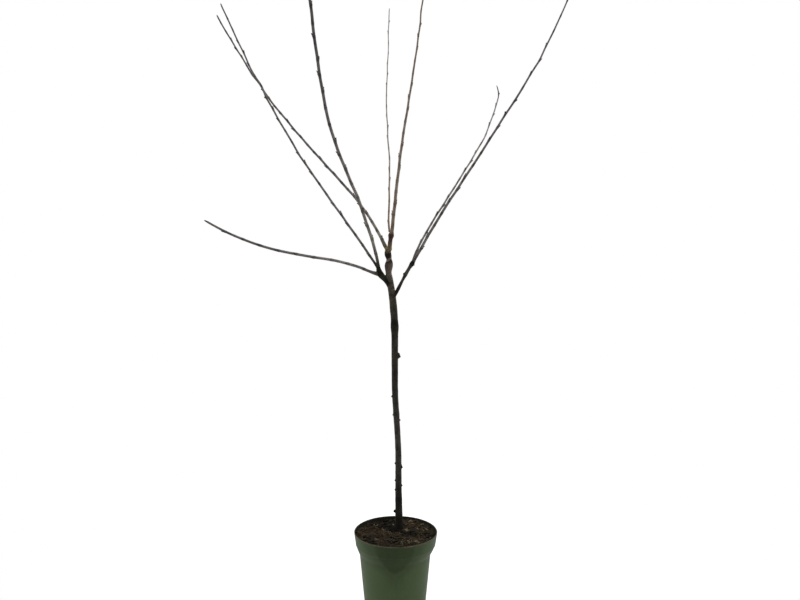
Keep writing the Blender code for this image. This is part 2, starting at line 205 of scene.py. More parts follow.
# A limb's line is a curve from foot to tip, pulled towards rise and lean. Along it, in shares of its
# length, are bends and knots with their size and reach, and spurs with their turn, size and width. Its
# tints go by the distance from its foot.
TRUNK = dict(
    name="trunk",
    foot=(*TRUNK_FOOT, 229),
    rise=(6, 22, 494),
    lean=(0, 6, 750),
    tip=(-16, 0, 1007),
    bends=(
        (0.286, -1.7, 70), (0.50, 2.6, 70), (0.75, -3.4, 70), (0.93, 6.1, 45), (0.942, 1.0, 8),
        (0.95, -3.2, 16), (0.985, 2.2, 9),
    ),
    dia=(19.5, 18.2),
    fade=1.0,
    knots=(
        (0.0, 4.4, 16), (0.0, 2.2, 60), (0.110, 0.8, 8), (0.38, -3.0, 186), (0.427, 1.3, 9),
        (0.733, 3.3, 15), (0.795, 1.6, 24), (0.916, -2.6, 8), (0.942, 3.6, 8), (0.964, -4.4, 6),
        (1.0, -2.6, 12),
    ),
    # Near the soil the first stops are dark: partly dirt, partly painted shade of the soil round the foot
    tints=(
        (0, (0.25, 0.22, 0.19)), (22, (0.32, 0.29, 0.25)), (54, (0.64, 0.63, 0.60)),
        (79, (0.54, 0.55, 0.52)), (86, (0.16, 0.17, 0.15)), (94, (0.14, 0.15, 0.13)),
        (100, (0.42, 0.43, 0.41)), (146, (0.80, 0.80, 0.80)), (178, (0.88, 0.88, 0.88)),
        (230, (1.10, 1.10, 1.08)), (280, (1.50, 1.46, 1.38)), (297, (0.98, 0.97, 0.93)),
        (330, (1.22, 1.20, 1.14)), (347, (1.00, 0.98, 0.94)), (390, (1.15, 1.12, 1.08)),
        (414, (0.62, 0.58, 0.60)), (431, (0.60, 0.56, 0.60)), (463, (0.86, 0.82, 0.82)),
        (496, (1.05, 1.04, 0.98)), (530, (1.30, 1.28, 1.20)), (555, (0.80, 0.77, 0.74)),
        (575, (0.58, 0.55, 0.53)), (580, (0.24, 0.22, 0.21)), (589, (0.24, 0.22, 0.21)),
        (596, (0.70, 0.66, 0.62)), (610, (1.25, 1.22, 1.10)), (628, (1.30, 1.32, 1.10)),
        (645, (1.85, 1.78, 1.66)), (661, (2.10, 2.00, 1.90)), (675, (3.10, 2.95, 2.80)),
        (690, (1.10, 0.98, 0.90)), (704, (3.00, 2.75, 2.55)), (722, (3.10, 2.70, 2.52)),
        (738, (2.90, 2.40, 2.34)), (744, (1.20, 0.95, 0.95)), (748, (0.40, 0.30, 0.30)),
        (751, (5.50, 5.00, 4.80)), (754, (5.50, 5.00, 4.80)), (757, (0.50, 0.36, 0.36)),
        (768, (0.40, 0.26, 0.26)), (772, (3.40, 3.05, 2.05)), (778, (5.60, 5.00, 3.30)),
    ),
    spurs=(
        (0.063, 180, 4.2, 8), (0.144, 175, 1.8, 5), (0.159, 10, 2.2, 5), (0.180, 190, 2.0, 5),
        (0.230, 0, 2.2, 10), (0.241, 165, 2.2, 5), (0.297, 255, 3.0, 6), (0.347, 75, 3.0, 6),
        (0.398, 20, 2.6, 5), (0.418, 160, 2.4, 5), (0.485, 185, 2.4, 5), (0.560, 95, 3.2, 6),
        (0.628, 5, 5.0, 14), (0.690, 240, 3.0, 6), (0.840, 100, 2.6, 6),
    ),
)

LEFT_BOUGH = dict(
    name="left_bough",
    grows_on="trunk",
    foot=(-11, 0, 904),
    rise=(-28, 0, 935),
    lean=(-41, 0, 931),
    tip=(-45, 0, 960),
    bends=((0.68, 1.0, 14),),
    dia=(16.0, 11.4),
    fade=1.2,
    knots=((0.68, 4.0, 11), (1.0, -1.6, 5)),
    # The dark stops just past the trunk are partly a darker collar and partly painted shade in the crotch
    tints=(
        (0, (2.50, 2.38, 2.20)), (9, (1.10, 1.06, 0.90)), (14, (0.12, 0.12, 0.07)),
        (22, (0.10, 0.10, 0.06)), (29, (0.72, 0.74, 0.52)), (37, (0.75, 0.77, 0.52)),
        (44, (0.30, 0.31, 0.20)), (49, (0.10, 0.10, 0.06)), (56, (0.42, 0.42, 0.30)),
        (66, (0.35, 0.33, 0.26)),
    ),
    spurs=((0.78, 235, 1.6, 5),),
)

RIGHT_BOUGH = dict(
    name="right_bough",
    grows_on="trunk",
    foot=(-4, 0, 879),
    rise=(21, -6, 925),
    lean=(21, -6, 932),
    tip=(48, -10, 974),
    bends=(),
    dia=(9.2, 8.6),
    fade=1.0,
    knots=((0.45, -1.4, 14), (0.61, 1.4, 7), (0.94, 4.4, 9), (1.0, -3.0, 4)),
    tints=(
        (0, (1.90, 1.82, 1.70)), (10, (1.40, 1.32, 1.24)), (15, (0.50, 0.47, 0.43)),
        (26, (0.55, 0.52, 0.48)), (36, (1.20, 1.16, 1.10)), (50, (1.60, 1.56, 1.48)),
        (63, (0.70, 0.68, 0.64)), (72, (1.70, 1.66, 1.56)), (92, (1.60, 1.56, 1.48)),
        (99, (0.45, 0.43, 0.40)), (106, (0.20, 0.19, 0.17)),
    ),
    spurs=((0.60, 170, 1.8, 5), (0.90, 20, 1.6, 5)),
)

# Each shoot's buds are the first one's distance from the foot, the distance between buds, and the first
# one's turn round the shoot in degrees, from +X towards +Y
SHOOTS = (
    dict(
        name="low_left_shoot",
        grows_on="left_bough",
        bark="grey",
        collar=19,
        foot=(-40, 0, 939),
        rise=(-211, -80, 1011),
        lean=(-280, -104, 971),
        tip=(-457, -160, 1078),
        bends=((0.03, 1.4, 18), (0.07, 1.8, 20), (0.27, -1.1, 45)),
        dia=(7.2, 4.4),
        fade=0.45,
        knots=((0.02, 2.4, 14),),
        buds=(48, 46.5, 144),
        tints=(
            (0, (0.14, 0.14, 0.10)), (12, (0.30, 0.29, 0.24)), (30, (0.90, 0.90, 0.84)),
            (90, (1.35, 1.35, 1.30)), (170, (1.60, 1.60, 1.55)), (200, (1.05, 1.05, 1.04)),
            (300, (1.00, 1.00, 1.00)),
        ),
        spurs=((0.70, 90, 1.2, 3),),
    ),
    dict(
        name="outer_left_shoot",
        grows_on="left_bough",
        bark="grey",
        bark_proud=0.99,
        collar=20,
        foot=(-45, 0, 955),
        rise=(-176, 22, 1153),
        lean=(-284, 38, 1254),
        tip=(-455, 60, 1640),
        bends=((0.44, 1.7, 30), (0.71, -2.9, 20), (0.77, 1.3, 30)),
        dia=(6.8, 4.0),
        fade=1.1,
        buds=(39, 33, 144),
        tints=(
            (0, (0.14, 0.14, 0.11)), (14, (0.25, 0.25, 0.20)), (40, (0.90, 0.90, 0.82)),
            (150, (1.16, 1.18, 1.20)),
        ),
        spurs=((0.665, 180, 3.0, 4), (0.458, 185, 2.0, 3)),
    ),
    dict(
        name="crossing_left_shoot",
        grows_on="trunk",
        bark="grey",
        collar=24,
        foot=(-14, 0, 995),
        rise=(-123, 87, 1213),
        lean=(-287, 140, 1267),
        tip=(-500, 220, 1648),
        bends=(
            (0.02, 1.8, 30), (0.05, 2.0, 45), (0.21, -1.4, 45), (0.65, 1.7, 30), (0.73, -1.5, 20),
            (0.76, 1.5, 30), (0.85, -1.2, 70),
        ),
        dia=(7.4, 4.1),
        fade=1.3,
        knots=((0.03, 2.4, 14),),
        buds=(41, 29, 324),
        tints=(
            (0, (1.00, 1.00, 0.70)), (22, (0.80, 0.80, 0.58)), (34, (0.72, 0.70, 0.58)),
            (60, (1.45, 1.47, 1.28)), (140, (1.55, 1.56, 1.46)), (220, (1.05, 1.05, 1.04)),
        ),
        spurs=((0.285, 100, 1.8, 3), (0.60, 180, 1.6, 3)),
    ),
    dict(
        name="tall_left_shoot",
        grows_on="left_bough",
        bark="grey",
        collar=20,
        foot=(-44, 0, 954),
        rise=(-91, -83, 1234),
        lean=(-196, -98, 1175),
        tip=(-207, -250, 1818),
        bends=(
            (0.03, -1.0, 25), (0.16, 1.2, 60), (0.22, -1.8, 30), (0.43, 2.1, 70), (0.62, -1.1, 70),
            (0.71, -1.3, 30), (0.87, 1.3, 70),
        ),
        dia=(7.7, 4.7),
        fade=0.3,
        buds=(42, 39.5, 252),
        tints=(
            (0, (0.14, 0.13, 0.11)), (14, (0.28, 0.25, 0.22)), (32, (1.00, 1.00, 0.90)),
            (60, (1.60, 1.62, 1.45)), (200, (1.50, 1.47, 1.42)), (400, (1.20, 1.18, 1.18)),
            (650, (0.80, 0.78, 0.80)),
        ),
        spurs=((0.384, 0, 3.0, 4), (0.656, 180, 3.6, 4), (0.599, 10, 2.2, 4)),
    ),
    dict(
        name="leader_shoot",
        grows_on="trunk",
        bark="young",
        collar=12,
        foot=(-16, 1, 1003),
        rise=(21, -45, 1338),
        lean=(51, -54, 1451),
        tip=(71, -70, 1639),
        bends=((0.085, -1.0, 20), (0.14, -1.3, 45), (0.43, 1.4, 70), (0.93, 1.6, 20)),
        dia=(9.5, 3.6),
        fade=1.4,
        knots=((0.02, 1.8, 22), (0.06, 5.2, 7)),
        buds=(92, 30, 180),
        tints=(
            (0, (0.68, 0.72, 0.50)), (11, (0.60, 0.62, 0.44)), (20, (0.36, 0.28, 0.26)),
            (34, (0.20, 0.11, 0.08)), (42, (0.22, 0.14, 0.10)), (50, (0.80, 0.78, 0.74)),
            (90, (1.00, 1.02, 1.05)), (300, (1.15, 1.20, 1.30)),
        ),
        spurs=((0.88, 0, 2.0, 3),),
    ),
    dict(
        name="fine_centre_shoot",
        grows_on="leader_shoot",
        bark="young",
        bark_proud=1.08,
        collar=19,
        foot=(-12, 0, 1037),
        rise=(-18, 98, 1255),
        lean=(-31, 153, 1438),
        tip=(-17, 200, 1663),
        bends=((0.07, 4.2, 55), (0.33, -3.0, 45), (0.59, 2.2, 45), (0.82, -2.0, 45)),
        dia=(4.8, 2.5),
        fade=1.5,
        buds=(42, 30.5, 144),
        # The pale blue-white stop at the tip is painted light from the bright backdrop on a thin
        # reddish-brown twig
        tints=(
            (0, (0.5, 0.4, 0.35)), (30, (0.95, 0.86, 0.78)), (130, (1.10, 1.12, 1.10)),
            (230, (1.52, 1.80, 2.15)),
        ),
        spurs=(),
    ),
    dict(
        name="outer_right_shoot",
        grows_on="right_bough",
        bark="grey",
        collar=16,
        foot=(46, -10, 970),
        rise=(186, -102, 1228),
        lean=(332, -160, 1400),
        tip=(405, -200, 1599),
        bends=((0.20, 1.3, 90), (0.56, 1.2, 45), (0.79, -1.2, 20), (0.92, 1.2, 45)),
        dia=(7.2, 3.2),
        fade=0.9,
        buds=(44, 36.5, 0),
        tints=(
            (0, (0.30, 0.29, 0.26)), (16, (0.70, 0.68, 0.62)), (40, (1.25, 1.22, 1.16)),
            (250, (1.15, 1.13, 1.10)), (600, (1.35, 1.35, 1.38)),
        ),
        spurs=((0.593, 180, 3.0, 4), (0.644, 0, 2.6, 4)),
    ),
    dict(
        name="fine_right_shoot",
        grows_on="right_bough",
        bark="grey",
        collar=16,
        foot=(45, -10, 970),
        rise=(86, 50, 1100),
        lean=(301, 125, 1324),
        tip=(277, 140, 1443),
        bends=((0.05, 1.3, 20), (0.36, -0.8, 60), (0.73, -1.1, 20), (0.84, 2.1, 30), (0.96, -2.8, 20)),
        dia=(5.6, 2.8),
        fade=0.7,
        buds=(32, 29.5, 0),
        tints=(
            (0, (0.30, 0.29, 0.26)), (16, (0.70, 0.68, 0.62)), (50, (1.25, 1.22, 1.16)),
            (200, (1.35, 1.35, 1.35)), (300, (2.00, 2.00, 2.05)), (400, (2.50, 2.50, 2.60)),
            (505, (2.60, 2.60, 2.70)), (535, (1.10, 1.10, 1.12)),
        ),
        spurs=((0.96, 0, 2.0, 3),),
    ),
)


# Small helpers


def deselect_all():
    bpy.ops.object.select_all(action="DESELECT")


def take(obj):
    """Makes this the only selected object and the active one."""
    deselect_all()
    obj.select_set(True)
    bpy.context.view_layer.objects.active = obj


def named(name):
    """The active object, under its own name."""
    obj = bpy.context.object
    obj.name = name
    obj.data.name = name
    return obj


def add(primitive, name, **settings):
    """A new primitive, on its own."""
    deselect_all()
    primitive(**settings)
    return named(name)


def edit(obj):
    """Opens an object in edit mode with all of it selected."""
    take(obj)
    bpy.ops.object.mode_set(mode="EDIT")
    bpy.ops.mesh.select_all(action="SELECT")


def leave_edit():
    bpy.ops.object.mode_set(mode="OBJECT")


def settle(obj):
    """Puts the object's place into its mesh, so that the object sits at the origin."""
    take(obj)
    bpy.ops.object.transform_apply(location=True, rotation=True, scale=True)


def apply_modifiers(obj):
    take(obj)
    for modifier in list(obj.modifiers):
        bpy.ops.object.modifier_apply(modifier=modifier.name)


def close_seams(obj):
    """Merges doubled points and turns the faces outwards."""
    edit(obj)
    bpy.ops.mesh.remove_doubles(threshold=MERGE)
    bpy.ops.mesh.normals_make_consistent(inside=False)
    leave_edit()


def smooth(obj, angle=None):
    take(obj)
    if angle is None:
        bpy.ops.object.shade_smooth()
    else:
        bpy.ops.object.shade_smooth_by_angle(angle=math.radians(angle))


def store(obj, name, values):
    """Gives each point of a piece a value for its material to read: a number, or three of them."""
    kind, field = ("FLOAT", "value") if isinstance(values[0], float) else ("FLOAT_VECTOR", "vector")
    attribute = obj.data.attributes.new(name, kind, "POINT")
    for item, value in zip(attribute.data, values):
        setattr(item, field, value)


def dress(obj, finish, slot, *replaced):
    """Gives a finished piece its material, its body and the nodes that it stands for. The slot is not used.
    """
    obj.data.materials.clear()
    obj.data.materials.append(finish)
    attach(obj, "root")
    if replaced:
        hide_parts(*replaced)


def join(pieces, name):
    """One mesh of these pieces."""
    deselect_all()
    for piece in pieces:
        piece.select_set(True)
    bpy.context.view_layer.objects.active = pieces[0]
    bpy.ops.object.join()
    whole = named(name)
    settle(whole)
    return whole


def tubes(name, rows, depth, resolution):
    """Round tubes with closed ends, one along each row of places, each place with its radius in depths."""
    tube = add(bpy.ops.curve.primitive_bezier_curve_add, name)
    curve = tube.data
    curve.splines.clear()
    curve.dimensions = "3D"
    curve.bevel_depth = depth
    curve.bevel_resolution = resolution
    curve.use_fill_caps = True
    for row in rows:
        spline = curve.splines.new("POLY")
        spline.points.add(len(row) - 1)
        for point, (place, radius) in zip(spline.points, row):
            point.co = (*place, 1)
            point.radius = radius
    take(tube)
    bpy.ops.object.convert(target="MESH")
    close_seams(tube)
    return tube


def bell(distance, height=1.0):
    """A smooth rise of this height that fades out over a distance of about 2."""
    return height * math.exp(-(distance**2))


def clamp(value, low=0.0, high=1.0):
    return max(low, min(high, value))


def around(turn):
    """The level direction at an angle from +X towards +Y."""
    return Vector((math.cos(turn), math.sin(turn), 0))


# Shading


class Shading:
    """A shader tree with a short name for each kind of node. A value is a socket, a number or a colour."""

    def __init__(self, tree):
        self.tree = tree

    def fill(self, made, **inputs):
        """Sets a node's inputs, each by its title, or by its number as i0, i1 and so on."""
        for key, value in inputs.items():
            socket = made.inputs[int(key[1:]) if key[1:].isdigit() else key.replace("_", " ")]
            if isinstance(value, bpy.types.NodeSocket):
                self.tree.links.new(value, socket)
            elif socket.type == "RGBA":
                socket.default_value = (*value, 1)
            else:
                socket.default_value = value
        return made

    def add(self, kind, settings=None, **inputs):
        made = self.tree.nodes.new("ShaderNode" + kind)
        for key, value in (settings or {}).items():
            setattr(made, key, value)
        return self.fill(made, **inputs)

    def group(self, group, **inputs):
        """A copy of a node group, with its own values."""
        return self.add("Group", dict(node_tree=group), **inputs).outputs

    def arithmetic(self, operation, a, b=0.0, clamped=False):
        return self.add("Math", dict(operation=operation, use_clamp=clamped), i0=a, i1=b).outputs[0]

    def plus(self, a, b, clamped=False):
        return self.arithmetic("ADD", a, b, clamped)

    def minus(self, a, b):
        return self.arithmetic("SUBTRACT", a, b)

    def times(self, a, b):
        return self.arithmetic("MULTIPLY", a, b)

    def ramp(self, value, low, high, start=0.0, end=1.0):
        """Turns a value between low and high into one between start and end, with soft ends."""
        settings = dict(interpolation_type="SMOOTHSTEP")
        return self.add("MapRange", settings, i0=value, i1=low, i2=high, i3=start, i4=end).outputs[0]

    def stretch(self, vector, scale):
        return self.add("VectorMath", dict(operation="MULTIPLY"), i0=vector, i1=scale).outputs[0]

    def mottle(self, vector, scale, detail=3.0, roughness=0.55):
        """Noise. A scale of three numbers stretches it."""
        if isinstance(scale, tuple):
            vector, scale = self.stretch(vector, scale), 1.0
        made = self.add("TexNoise", Vector=vector, Scale=scale, Detail=detail, Roughness=roughness)
        return made.outputs["Fac"]

    def mix(self, share, low, high, way="MIX"):
        """Mixes two colours by a share."""
        return self.add("Mix", dict(data_type="RGBA", blend_type=way), i0=share, i6=low, i7=high).outputs[2]

    def stored(self, name, output="Vector"):
        """What each point of the piece carries under this name."""
        return self.add("Attribute", dict(attribute_name=name)).outputs[output]

    def tinted(self, colour):
        return self.mix(1.0, colour, self.stored("tint"), "MULTIPLY")

    def place(self):
        """The place on the object."""
        return self.add("TexCoord").outputs["Object"]

    def parts(self, vector):
        """A vector's X, Y and Z."""
        return self.add("SeparateXYZ", Vector=vector).outputs

    def bump(self, height, distance):
        return self.add("Bump", Height=height, Distance=distance, Strength=1.0).outputs["Normal"]


def new_group(name, inputs, outputs):
    """An empty node group with these sockets: its tree, what comes in and its end."""
    group = bpy.data.node_groups.new(name, "ShaderNodeTree")
    for way, sockets in (("INPUT", inputs), ("OUTPUT", outputs)):
        for title, kind in sockets.items():
            group.interface.new_socket(title, in_out=way, socket_type="NodeSocket" + kind)
    return Shading(group), group.nodes.new("NodeGroupInput").outputs, group.nodes.new("NodeGroupOutput")


def bark_group():
    """Bark with its grain along Z: dark patches, fine grain, wrinkles, a film and lenticels."""
    colours = dict(Bark="Color", Dark="Color", Lenticel="Color", Film="Color")
    tree, start, end = new_group(
        "bark",
        {"Vector": "Vector", **colours, "Film Amount": "Float", "Lenticel Size": "Float"},
        {"Color": "Color", "Roughness": "Float", "Height": "Float"},
    )
    vector, size = start["Vector"], start["Lenticel Size"]
    patches = tree.ramp(tree.mottle(vector, 55.0, 4.0), 0.36, 0.66)
    grain = tree.mottle(vector, (1500, 1500, 130), 2.0)
    wrinkles = tree.mottle(vector, (110, 110, 1150), 2.0)
    dashes = tree.add("TexVoronoi", Vector=tree.stretch(vector, (230, 230, 560)), Scale=1.0)
    dash = tree.ramp(dashes.outputs["Distance"], size, tree.times(size, 1.6), 1.0, 0.0)
    film = tree.ramp(tree.mottle(vector, (90, 90, 38), 5.0, 0.65), 0.44, 0.62)
    film = tree.times(film, start["Film Amount"])
    colour = tree.mix(patches, start["Dark"], start["Bark"])
    colour = tree.mix(tree.ramp(grain, 0.30, 0.75, 0.0, 0.35), colour, start["Dark"])
    colour = tree.mix(film, colour, start["Film"])
    colour = tree.mix(tree.times(dash, 0.8), colour, start["Lenticel"])
    height = tree.plus(tree.times(grain, 0.35), tree.times(wrinkles, 0.45))
    height = tree.plus(height, tree.times(dash, 0.6))
    tree.fill(end, Color=colour, Roughness=tree.plus(0.72, tree.times(film, -0.22)), Height=height)
    return tree.tree


def dust_group():
    """Soil dust that gathers in soft patches and specks, most of all where Where is 1."""
    tree, start, end = new_group(
        "soil_dust",
        {"Vector": "Vector", "Clean": "Color", "Dust": "Color", "Where": "Float", "Overall": "Float"},
        {"Color": "Color", "Mask": "Float"},
    )
    patches = tree.ramp(tree.mottle(start["Vector"], 38.0, 5.0, 0.62), 0.30, 0.70)
    specks = tree.ramp(tree.mottle(start["Vector"], 900.0, 2.0), 0.58, 0.72)
    amount = tree.plus(start["Where"], start["Overall"])
    mask = tree.plus(tree.times(patches, amount), tree.times(tree.times(specks, amount), 0.9), clamped=True)
    tree.fill(end, Color=tree.mix(mask, start["Clean"], start["Dust"]), Mask=mask)
    return tree.tree


# Materials


def new_material(name):
    """A material, its tree and its shader."""
    made = bpy.data.materials.new(name)
    made.use_nodes = True
    return made, Shading(made.node_tree), made.node_tree.nodes["Principled BSDF"]


def wood_bark(age, bark, dust):
    """Bark of one age. The grain follows the limb, and the tint says how its colour changes along it."""
    made, tree, shader = new_material(age + "_bark")
    skin = tree.group(bark, Vector=tree.stored("grain"), **BARKS[age])
    colour = tree.tinted(skin["Color"])
    relief = 0.0003
    if age == "old":
        relief = 0.0005
        vector = tree.place()
        foot = tree.ramp(tree.parts(vector)["Z"], 0.236, 0.270, 0.75, 0.0)
        soil = (0.030, 0.023, 0.015)
        colour = tree.group(dust, Vector=vector, Clean=colour, Dust=soil, Where=foot, Overall=0.0)["Color"]
    tree.fill(shader, Base_Color=colour, Roughness=skin["Roughness"], Specular_IOR_Level=0.35)
    tree.fill(shader, Normal=tree.bump(skin["Height"], relief))
    return made


def mottled(name, dark, pale, scale=420.0, detail=3.0, high=0.65, roughness=0.85, gloss=0.12):
    """A plain colour with a fine mottle, for the small bits on the soil and the scales of the buds."""
    made, tree, shader = new_material(name)
    colour = tree.mix(tree.ramp(tree.mottle(tree.place(), scale, detail), 0.35, high), dark, pale)
    tree.fill(shader, Base_Color=colour, Roughness=roughness, Specular_IOR_Level=gloss)
    return made


def bud_scales(name, dark, pale):
    return mottled(name, dark, pale, 700.0, 2.0, 0.7, 0.55, 0.5)


def pot_plastic(dust):
    """Dark green moulded plastic under a paler film. The film is thin in a tapering darker patch on its
    front, and thinner towards the top as painted shade under the rim.
    """
    made, tree, shader = new_material("pot_plastic")
    vector = tree.place()
    parts = tree.parts(vector)
    height = parts["Z"]
    clouds = tree.ramp(tree.mottle(vector, (22, 22, 9), 4.0), 0.30, 0.70)
    green = tree.mix(clouds, (0.021, 0.050, 0.004), (0.029, 0.060, 0.007))
    scuffs = tree.ramp(tree.mottle(vector, (260, 260, 30), 5.0, 0.7), 0.62, 0.82)
    green = tree.mix(tree.times(scuffs, 0.20), green, (0.12, 0.14, 0.09))
    # A darker tapering patch on the front, where the paler film is thin, with a softer darker halo round it
    below = tree.arithmetic("DIVIDE", tree.minus(DARK_PATCH_TOP, height), DARK_PATCH_TALL, clamped=True)
    half = tree.plus(tree.times(tree.arithmetic("POWER", below, 1.8), DARK_PATCH_TAPER), DARK_PATCH_HALF)
    half = tree.plus(half, tree.times(tree.mottle(vector, 45.0), 0.014))
    reach = tree.minus(half, tree.arithmetic("ABSOLUTE", tree.plus(parts["X"], DARK_PATCH_MIDDLE)))
    inside = tree.times(tree.ramp(reach, -0.011, 0.012), tree.ramp(height, 0.140, 0.170))
    thinned = tree.times(tree.ramp(reach, -0.038, -0.004, 0.0, 0.46), tree.ramp(height, 0.095, 0.160))
    front = tree.ramp(parts["Y"], -0.06, -0.04, 1.0, 0.0)
    film = tree.minus(1.0, tree.times(tree.arithmetic("MAXIMUM", inside, thinned), front))
    # Painted shade under the rim: the paler film thins towards the top, so the shoulder and band are darker
    rim_shaded_film = tree.ramp(height, 0.160, 0.188, 0.60, 0.47)
    green = tree.mix(tree.times(film, rim_shaded_film), green, (0.127, 0.196, 0.081))
    lip = tree.ramp(height, 0.2362, 0.2392, 0.0, 0.95)
    dry_soil = (0.180, 0.150, 0.095)
    dusty = tree.group(dust, Vector=vector, Clean=green, Dust=dry_soil, Where=lip, Overall=0.05)
    # The pot's inner wall is made a near black brown
    inner_wall_darkening = tree.times(tree.stored("inside", "Fac"), 0.88)
    colour = tree.mix(inner_wall_darkening, dusty["Color"], (0.017, 0.015, 0.010))
    rough = tree.plus(0.29, tree.times(tree.mottle(vector, 30.0, 4.0), 0.18))
    rough = tree.plus(rough, tree.times(film, 0.06))
    rough = tree.plus(rough, tree.times(dusty["Mask"], 0.30), clamped=True)
    skin = tree.plus(tree.mottle(vector, 1600.0, 2.0), tree.times(scuffs, -0.8))
    normal = tree.bump(skin, 0.00008)
    tree.fill(shader, Base_Color=colour, Roughness=rough, Normal=normal, Specular_IOR_Level=0.38)
    return made


def soil_matter():
    """Dark peat and bark compost: near black where moist, brown and a little red where it dries."""
    made, tree, shader = new_material("potting_soil")
    vector = tree.place()
    crumbs = tree.add("TexVoronoi", Vector=vector, Scale=230.0).outputs["Color"]
    tone = tree.add("SeparateColor", Color=crumbs).outputs[0]
    brown = tree.mix(tree.ramp(tone, 0.15, 0.95), (0.018, 0.0138, 0.0076), (0.064, 0.0475, 0.0260))
    moist = tree.ramp(tree.mottle(vector, 48.0), 0.44, 0.58)
    brown = tree.mix(tree.times(moist, 0.66), brown, (0.0115, 0.0094, 0.0052))
    red = tree.ramp(tree.mottle(vector, (31, 27, 31)), 0.54, 0.68, 0.0, 0.35)
    brown = tree.mix(red, brown, (0.046, 0.029, 0.020))
    fine = tree.ramp(tree.mottle(vector, 1300.0, 2.0), 0.62, 0.74, 0.0, 0.5)
    brown = tree.tinted(tree.mix(fine, brown, (0.120, 0.095, 0.052)))
    normal = tree.bump(tree.mottle(vector, 800.0, 4.0, 0.7), 0.0009)
    tree.fill(shader, Base_Color=brown, Roughness=0.95, Normal=normal, Specular_IOR_Level=0.1)
    return made


# Limb lines


def limb_line(limb):
    """The limb's middle line: evenly spaced points in metres, and its length."""
    ends = [Vector(limb[key]) for key in ("foot", "rise", "lean", "tip")]
    fine = 400
    path = []
    for i in range(fine + 1):
        t = i / fine
        weights = ((1 - t) ** 3, 3 * t * (1 - t) ** 2, 3 * t * t * (1 - t), t**3)
        path.append(sum((w * p for w, p in zip(weights, ends)), Vector()))
    travel = [0.0]
    for a, b in zip(path, path[1:]):
        travel.append(travel[-1] + (b - a).length)
    points = []
    at = 0
    for i in range(fine):
        share = i / (fine - 1)
        goal = share * travel[-1]
        while at < fine - 1 and travel[at + 1] < goal:
            at += 1
        part = (goal - travel[at]) / (travel[at + 1] - travel[at])
        place = path[at].lerp(path[at + 1], part)
        aside = (path[at + 1] - path[at]).cross(Vector((0, 1, 0))).normalized()
        shift = sum(bell((share - mid) * travel[-1] / reach, far) for mid, far, reach in limb["bends"])
        points.append((place + aside * shift) * MM)
    length = sum((b - a).length for a, b in zip(points, points[1:]))
    if "buds" in limb:
        points = kinked(limb, points, length)
    return dict(limb=limb, points=points, length=length)


def kinked(limb, points, length):
    """A shoot turns a little at every bud, with the bud on the outer side of the turn."""
    first, gap, turn = limb["buds"]
    moved = []
    for i, point in enumerate(points):
        reach = (length / MM * i / (len(points) - 1) - first) / gap
        along = (points[min(i + 1, len(points) - 1)] - points[max(i - 1, 0)]).normalized()
        shift = Vector()
        for bud in (math.floor(reach), math.floor(reach) + 1):
            if bud >= 0:
                shift += outward(along, turn + BUD_TURN * bud) * (1 - abs(reach - bud))
        moved.append(point + shift * BUD_KINK * MM)
    return moved


def at_share(line, share):
    points = line["points"]
    reach = clamp(share) * (len(points) - 1)
    low = min(int(reach), len(points) - 2)
    return points[low].lerp(points[low + 1], reach - low)


def direction_at(line, share):
    step = 0.004
    return (at_share(line, share + step) - at_share(line, share - step)).normalized()


def frame_at(line, share):
    """The direction along the limb and two sideways ones, which don't twist from foot to tip."""
    along = direction_at(line, share)
    aside = along.cross(Vector((0, 1, 0))).normalized()
    return along, aside, aside.cross(along)


def outward(along, turn):
    """The sideways direction at a turn in degrees round the limb, from +X towards +Y."""
    flat = around(math.radians(turn))
    aside = flat - along * flat.dot(along)
    if aside.length < 0.2:
        aside = along.orthogonal()
    return aside.normalized()


def radius_at(line, share):
    limb = line["limb"]
    foot, tip = limb["dia"]
    dia = tip + (foot - tip) * (1 - clamp(share)) ** limb["fade"]
    for mid, extra, reach in limb.get("knots", ()):
        dia += bell((share - mid) * line["length"] / (reach * MM), extra)
    return dia / 2 * MM


def tint_at(limb, far):
    """The tint of a limb's bark at a distance from its foot in millimetres."""
    stops = limb["tints"]
    for (low, a), (high, b) in zip(stops, stops[1:]):
        if far <= high:
            return Vector(a).lerp(Vector(b), clamp((far - low) / (high - low)))
    return Vector(stops[-1][1])


def bud_places(line):
    """Each small bud's distance from the foot and its turn in degrees. None is close to a strong one."""
    first, gap, turn = line["limb"]["buds"]
    count = int((line["length"] / MM - LAST_BUD - first) / gap) + 1
    places = [((first + gap * i) * MM, turn + BUD_TURN * i) for i in range(count)]
    strong = [far for far, _ in strong_places(line)]
    return [place for place in places if all(abs(place[0] - far) > STRONG_BUD_CLEAR for far in strong)]


def strong_places(line):
    """Each strong bud's distance from the foot and its turn in degrees."""
    return [(share * line["length"], turn) for share, turn, _, _ in line["limb"]["spurs"]]


# Wood


def limb_tube(line, reach, sides, swell=1.0, step=0.004):
    """A closed tube along a limb from its foot as far as reach, thicker at its foot by the swell."""
    last = max(4, round(reach / step) + 1) - 1
    row = []
    for i in range(last + 1):
        share = reach * i / last / line["length"]
        row.append((at_share(line, share), radius_at(line, share) * (swell + (1 - swell) * i / last)))
    return tubes("core", [row], 1.0, (sides - 4) // 2)


def spur_ends(line):
    """The foot, the tip and the width of each old spur's stub. The foot lies in the limb's middle."""
    ends = []
    for share, turn, proud, width in line["limb"]["spurs"]:
        along = direction_at(line, share)
        side = outward(along, turn)
        direction = (side + along * SPUR_RISE).normalized()
        reach = (radius_at(line, share) + proud * MM) / direction.dot(side)
        foot = at_share(line, share)
        ends.append((foot, foot + direction * reach, width * MM))
    return ends


